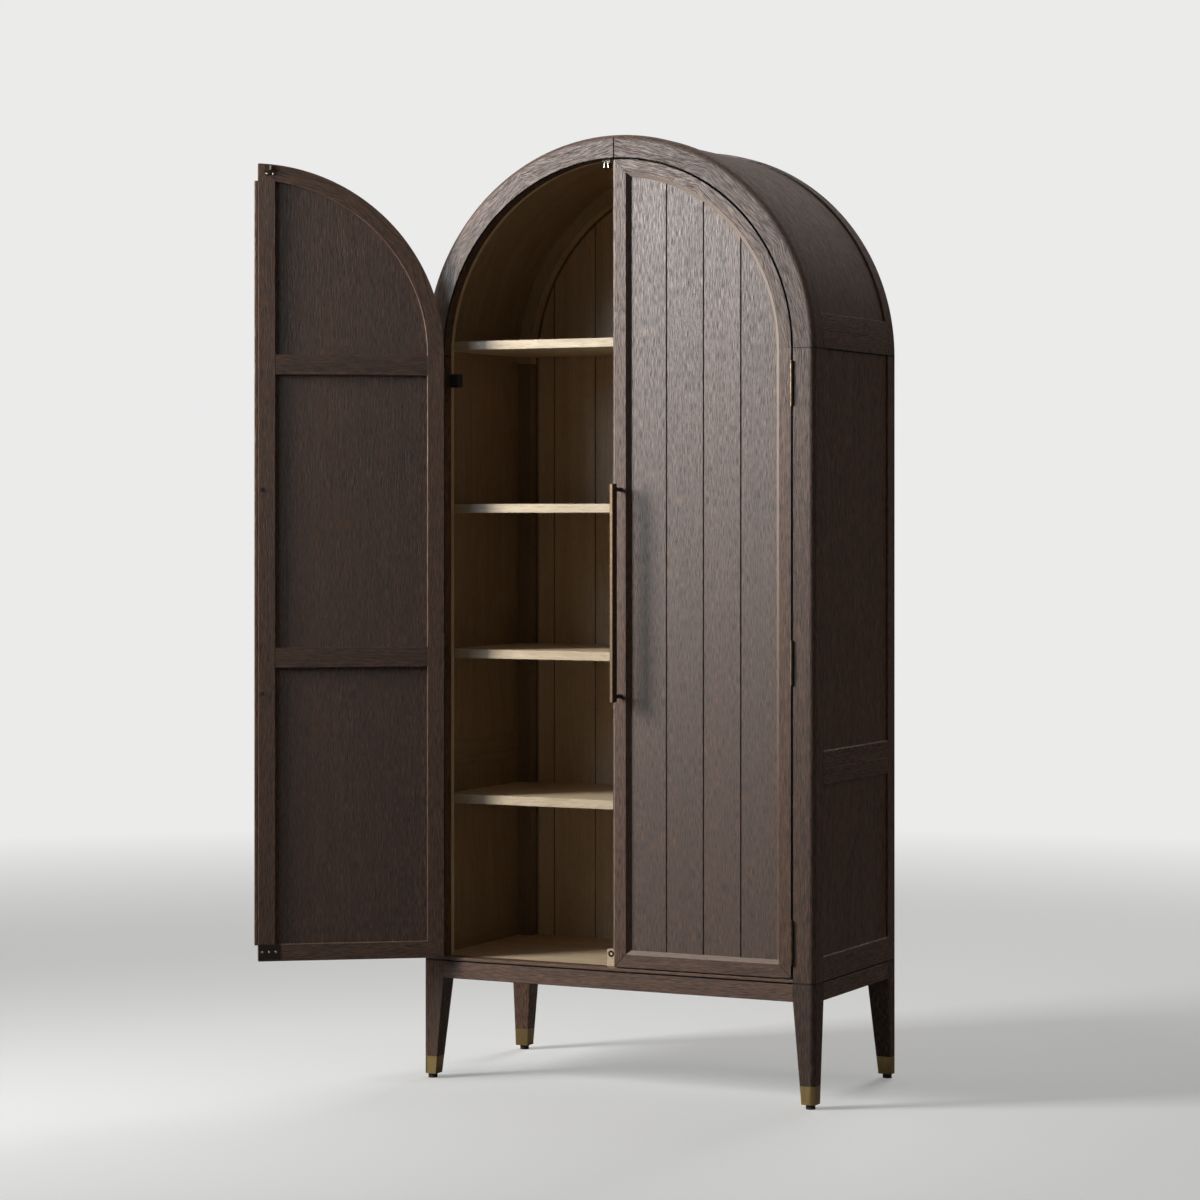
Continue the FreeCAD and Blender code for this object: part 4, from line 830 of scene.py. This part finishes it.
# Distance in metres over which the floor fades into the background.
FADE = (1.6, 6.5)

# Name, place, aim, width, height, watts, spread in degrees, and the switches that are off.
# No lamp is seen by the camera, some aren't mirrored, and some show only as sheen.
UNSEEN = ("visible_camera",)
UNMIRRORED = ("visible_camera", "visible_glossy")
ONLY_SHEEN = ("visible_camera", "visible_diffuse")
LAMPS = (
    ("key", (-2.48, -2.22, 2.5), (0.3, -0.1, 2.0), 1.0, 2.0, 100, 140, UNSEEN),
    ("top", (-0.6, 0.5, 4.4), (0.2, 0.0, 1.0), 2.5, 2.5, 10, 180, UNSEEN),
    ("rear", (0.1, 5.5, 2.8), (0.16, 0.2, 1.3), 2.0, 2.0, 26, 70, UNMIRRORED),
    ("right", (5.0, 1.6, 2.6), (0.6, 0.1, 1.3), 1.6, 1.6, 2.5, 70, UNMIRRORED),
    ("sheen", (-1.75, -3.7, 3.0), (0.3, -0.1, 1.9), 1.6, 1.2, 250, 180, ONLY_SHEEN),
    ("low_sheen", (-1.75, -3.7, 1.6), (0.3, -0.1, 1.3), 1.6, 1.2, 8, 180, ONLY_SHEEN),
)

LENS = 100.74
SENSOR = 36.0
CAMERA_SHIFT = (-0.0056, -0.0728)
CAMERA_PLACE = (3.6140, -7.1524, 1.357)
CAMERA_ANGLES = (90, 0, 26.22)


def build_floor():
    """A plain pale floor that fades into the background far from the cabinet."""
    bpy.ops.mesh.primitive_plane_add(size=FLOOR_SIZE, location=(0, 0, 0))
    floor = bpy.context.object
    floor.name = "floor"
    net = Net("pale_floor")
    place = net.node("ShaderNodeNewGeometry").outputs["Position"]
    x, y, _ = net.split(place)
    seen = net.node("ShaderNodeLightPath").outputs["Is Camera Ray"]
    share = net.math("MULTIPLY", net.ramp(net.length(x, y), *FADE), seen)
    net.put(net.shader.inputs["Base Color"], net.mix(seen, FLOOR_BOUNCE, FLOOR_PALE))
    net.shader.inputs["Roughness"].default_value = FLOOR_ROUGH
    net.shader.inputs["Specular IOR Level"].default_value = FLOOR_GLOSS
    glow = net.node("ShaderNodeEmission", {"Color": BACKGROUND, "Strength": 1.0})
    pale = net.node("ShaderNodeEmission", {"Color": FLOOR_GLOW, "Strength": seen})
    lit = net.node("ShaderNodeAddShader", {0: net.shader.outputs[0], 1: pale.outputs[0]})
    blend = net.node("ShaderNodeMixShader", {0: share, 1: lit.outputs[0], 2: glow.outputs[0]})
    net.links.new(blend.outputs[0], net.nodes["Material Output"].inputs["Surface"])
    floor.data.materials.append(net.material)


def build_world():
    """Low even fill, a pale ceiling for reflections and a pale background for the camera."""
    world = bpy.data.worlds.new("studio")
    bpy.context.scene.world = world
    world.use_nodes = True
    nodes, links = world.node_tree.nodes, world.node_tree.links
    path = nodes.new("ShaderNodeLightPath")
    direction = nodes.new("ShaderNodeTexCoord").outputs["Generated"]
    rise = nodes.new("ShaderNodeSeparateXYZ")
    links.new(direction, rise.inputs[0])
    ceiling = nodes.new("ShaderNodeMapRange")
    links.new(rise.outputs[2], ceiling.inputs[0])
    ceiling.inputs[1].default_value, ceiling.inputs[2].default_value = CEILING_RISE

    def mixed(share, one, other):
        blend = nodes.new("ShaderNodeMix")
        blend.data_type = "RGBA"
        for place, value in ((0, share), (6, one), (7, other)):
            if isinstance(value, bpy.types.NodeSocket):
                links.new(value, blend.inputs[place])
            else:
                blend.inputs[place].default_value = value
        return blend.outputs[2]

    room = mixed(ceiling.outputs[0], MIRRORED_LOW, MIRRORED_HIGH)
    colour = mixed(path.outputs["Is Glossy Ray"], FILL, room)
    colour = mixed(path.outputs["Is Transmission Ray"], colour, BACKGROUND)
    colour = mixed(path.outputs["Is Camera Ray"], colour, BACKGROUND)
    links.new(colour, nodes["Background"].inputs["Color"])
    nodes["Background"].inputs["Strength"].default_value = 1.0


def area_light(name, place, target, width, height, power, spread, switched_off):
    """A soft light aimed at a place."""
    data = bpy.data.lights.new(name, "AREA")
    data.shape = "RECTANGLE"
    data.size = width
    data.size_y = height
    data.energy = power
    data.spread = math.radians(spread)
    lamp = bpy.data.objects.new(name, data)
    bpy.context.scene.collection.objects.link(lamp)
    lamp.location = place
    aim = Vector(target) - Vector(place)
    lamp.rotation_euler = aim.to_track_quat("-Z", "Y").to_euler()
    for switch in switched_off:
        setattr(lamp, switch, False)


def build_camera():
    """The photograph's own viewing place and lens."""
    data = bpy.data.cameras.new("camera")
    data.lens = LENS
    data.sensor_width = SENSOR
    data.shift_x, data.shift_y = CAMERA_SHIFT
    camera = bpy.data.objects.new("camera", data)
    bpy.context.scene.collection.objects.link(camera)
    camera.location = CAMERA_PLACE
    camera.rotation_euler = tuple(math.radians(angle) for angle in CAMERA_ANGLES)
    bpy.context.scene.camera = camera


dress_wood()
dress_metal()
add_screws()
build_floor()
build_world()
for lamp_values in LAMPS:
    area_light(*lamp_values)
build_camera()
bpy.context.scene.view_settings.view_transform = "Standard"
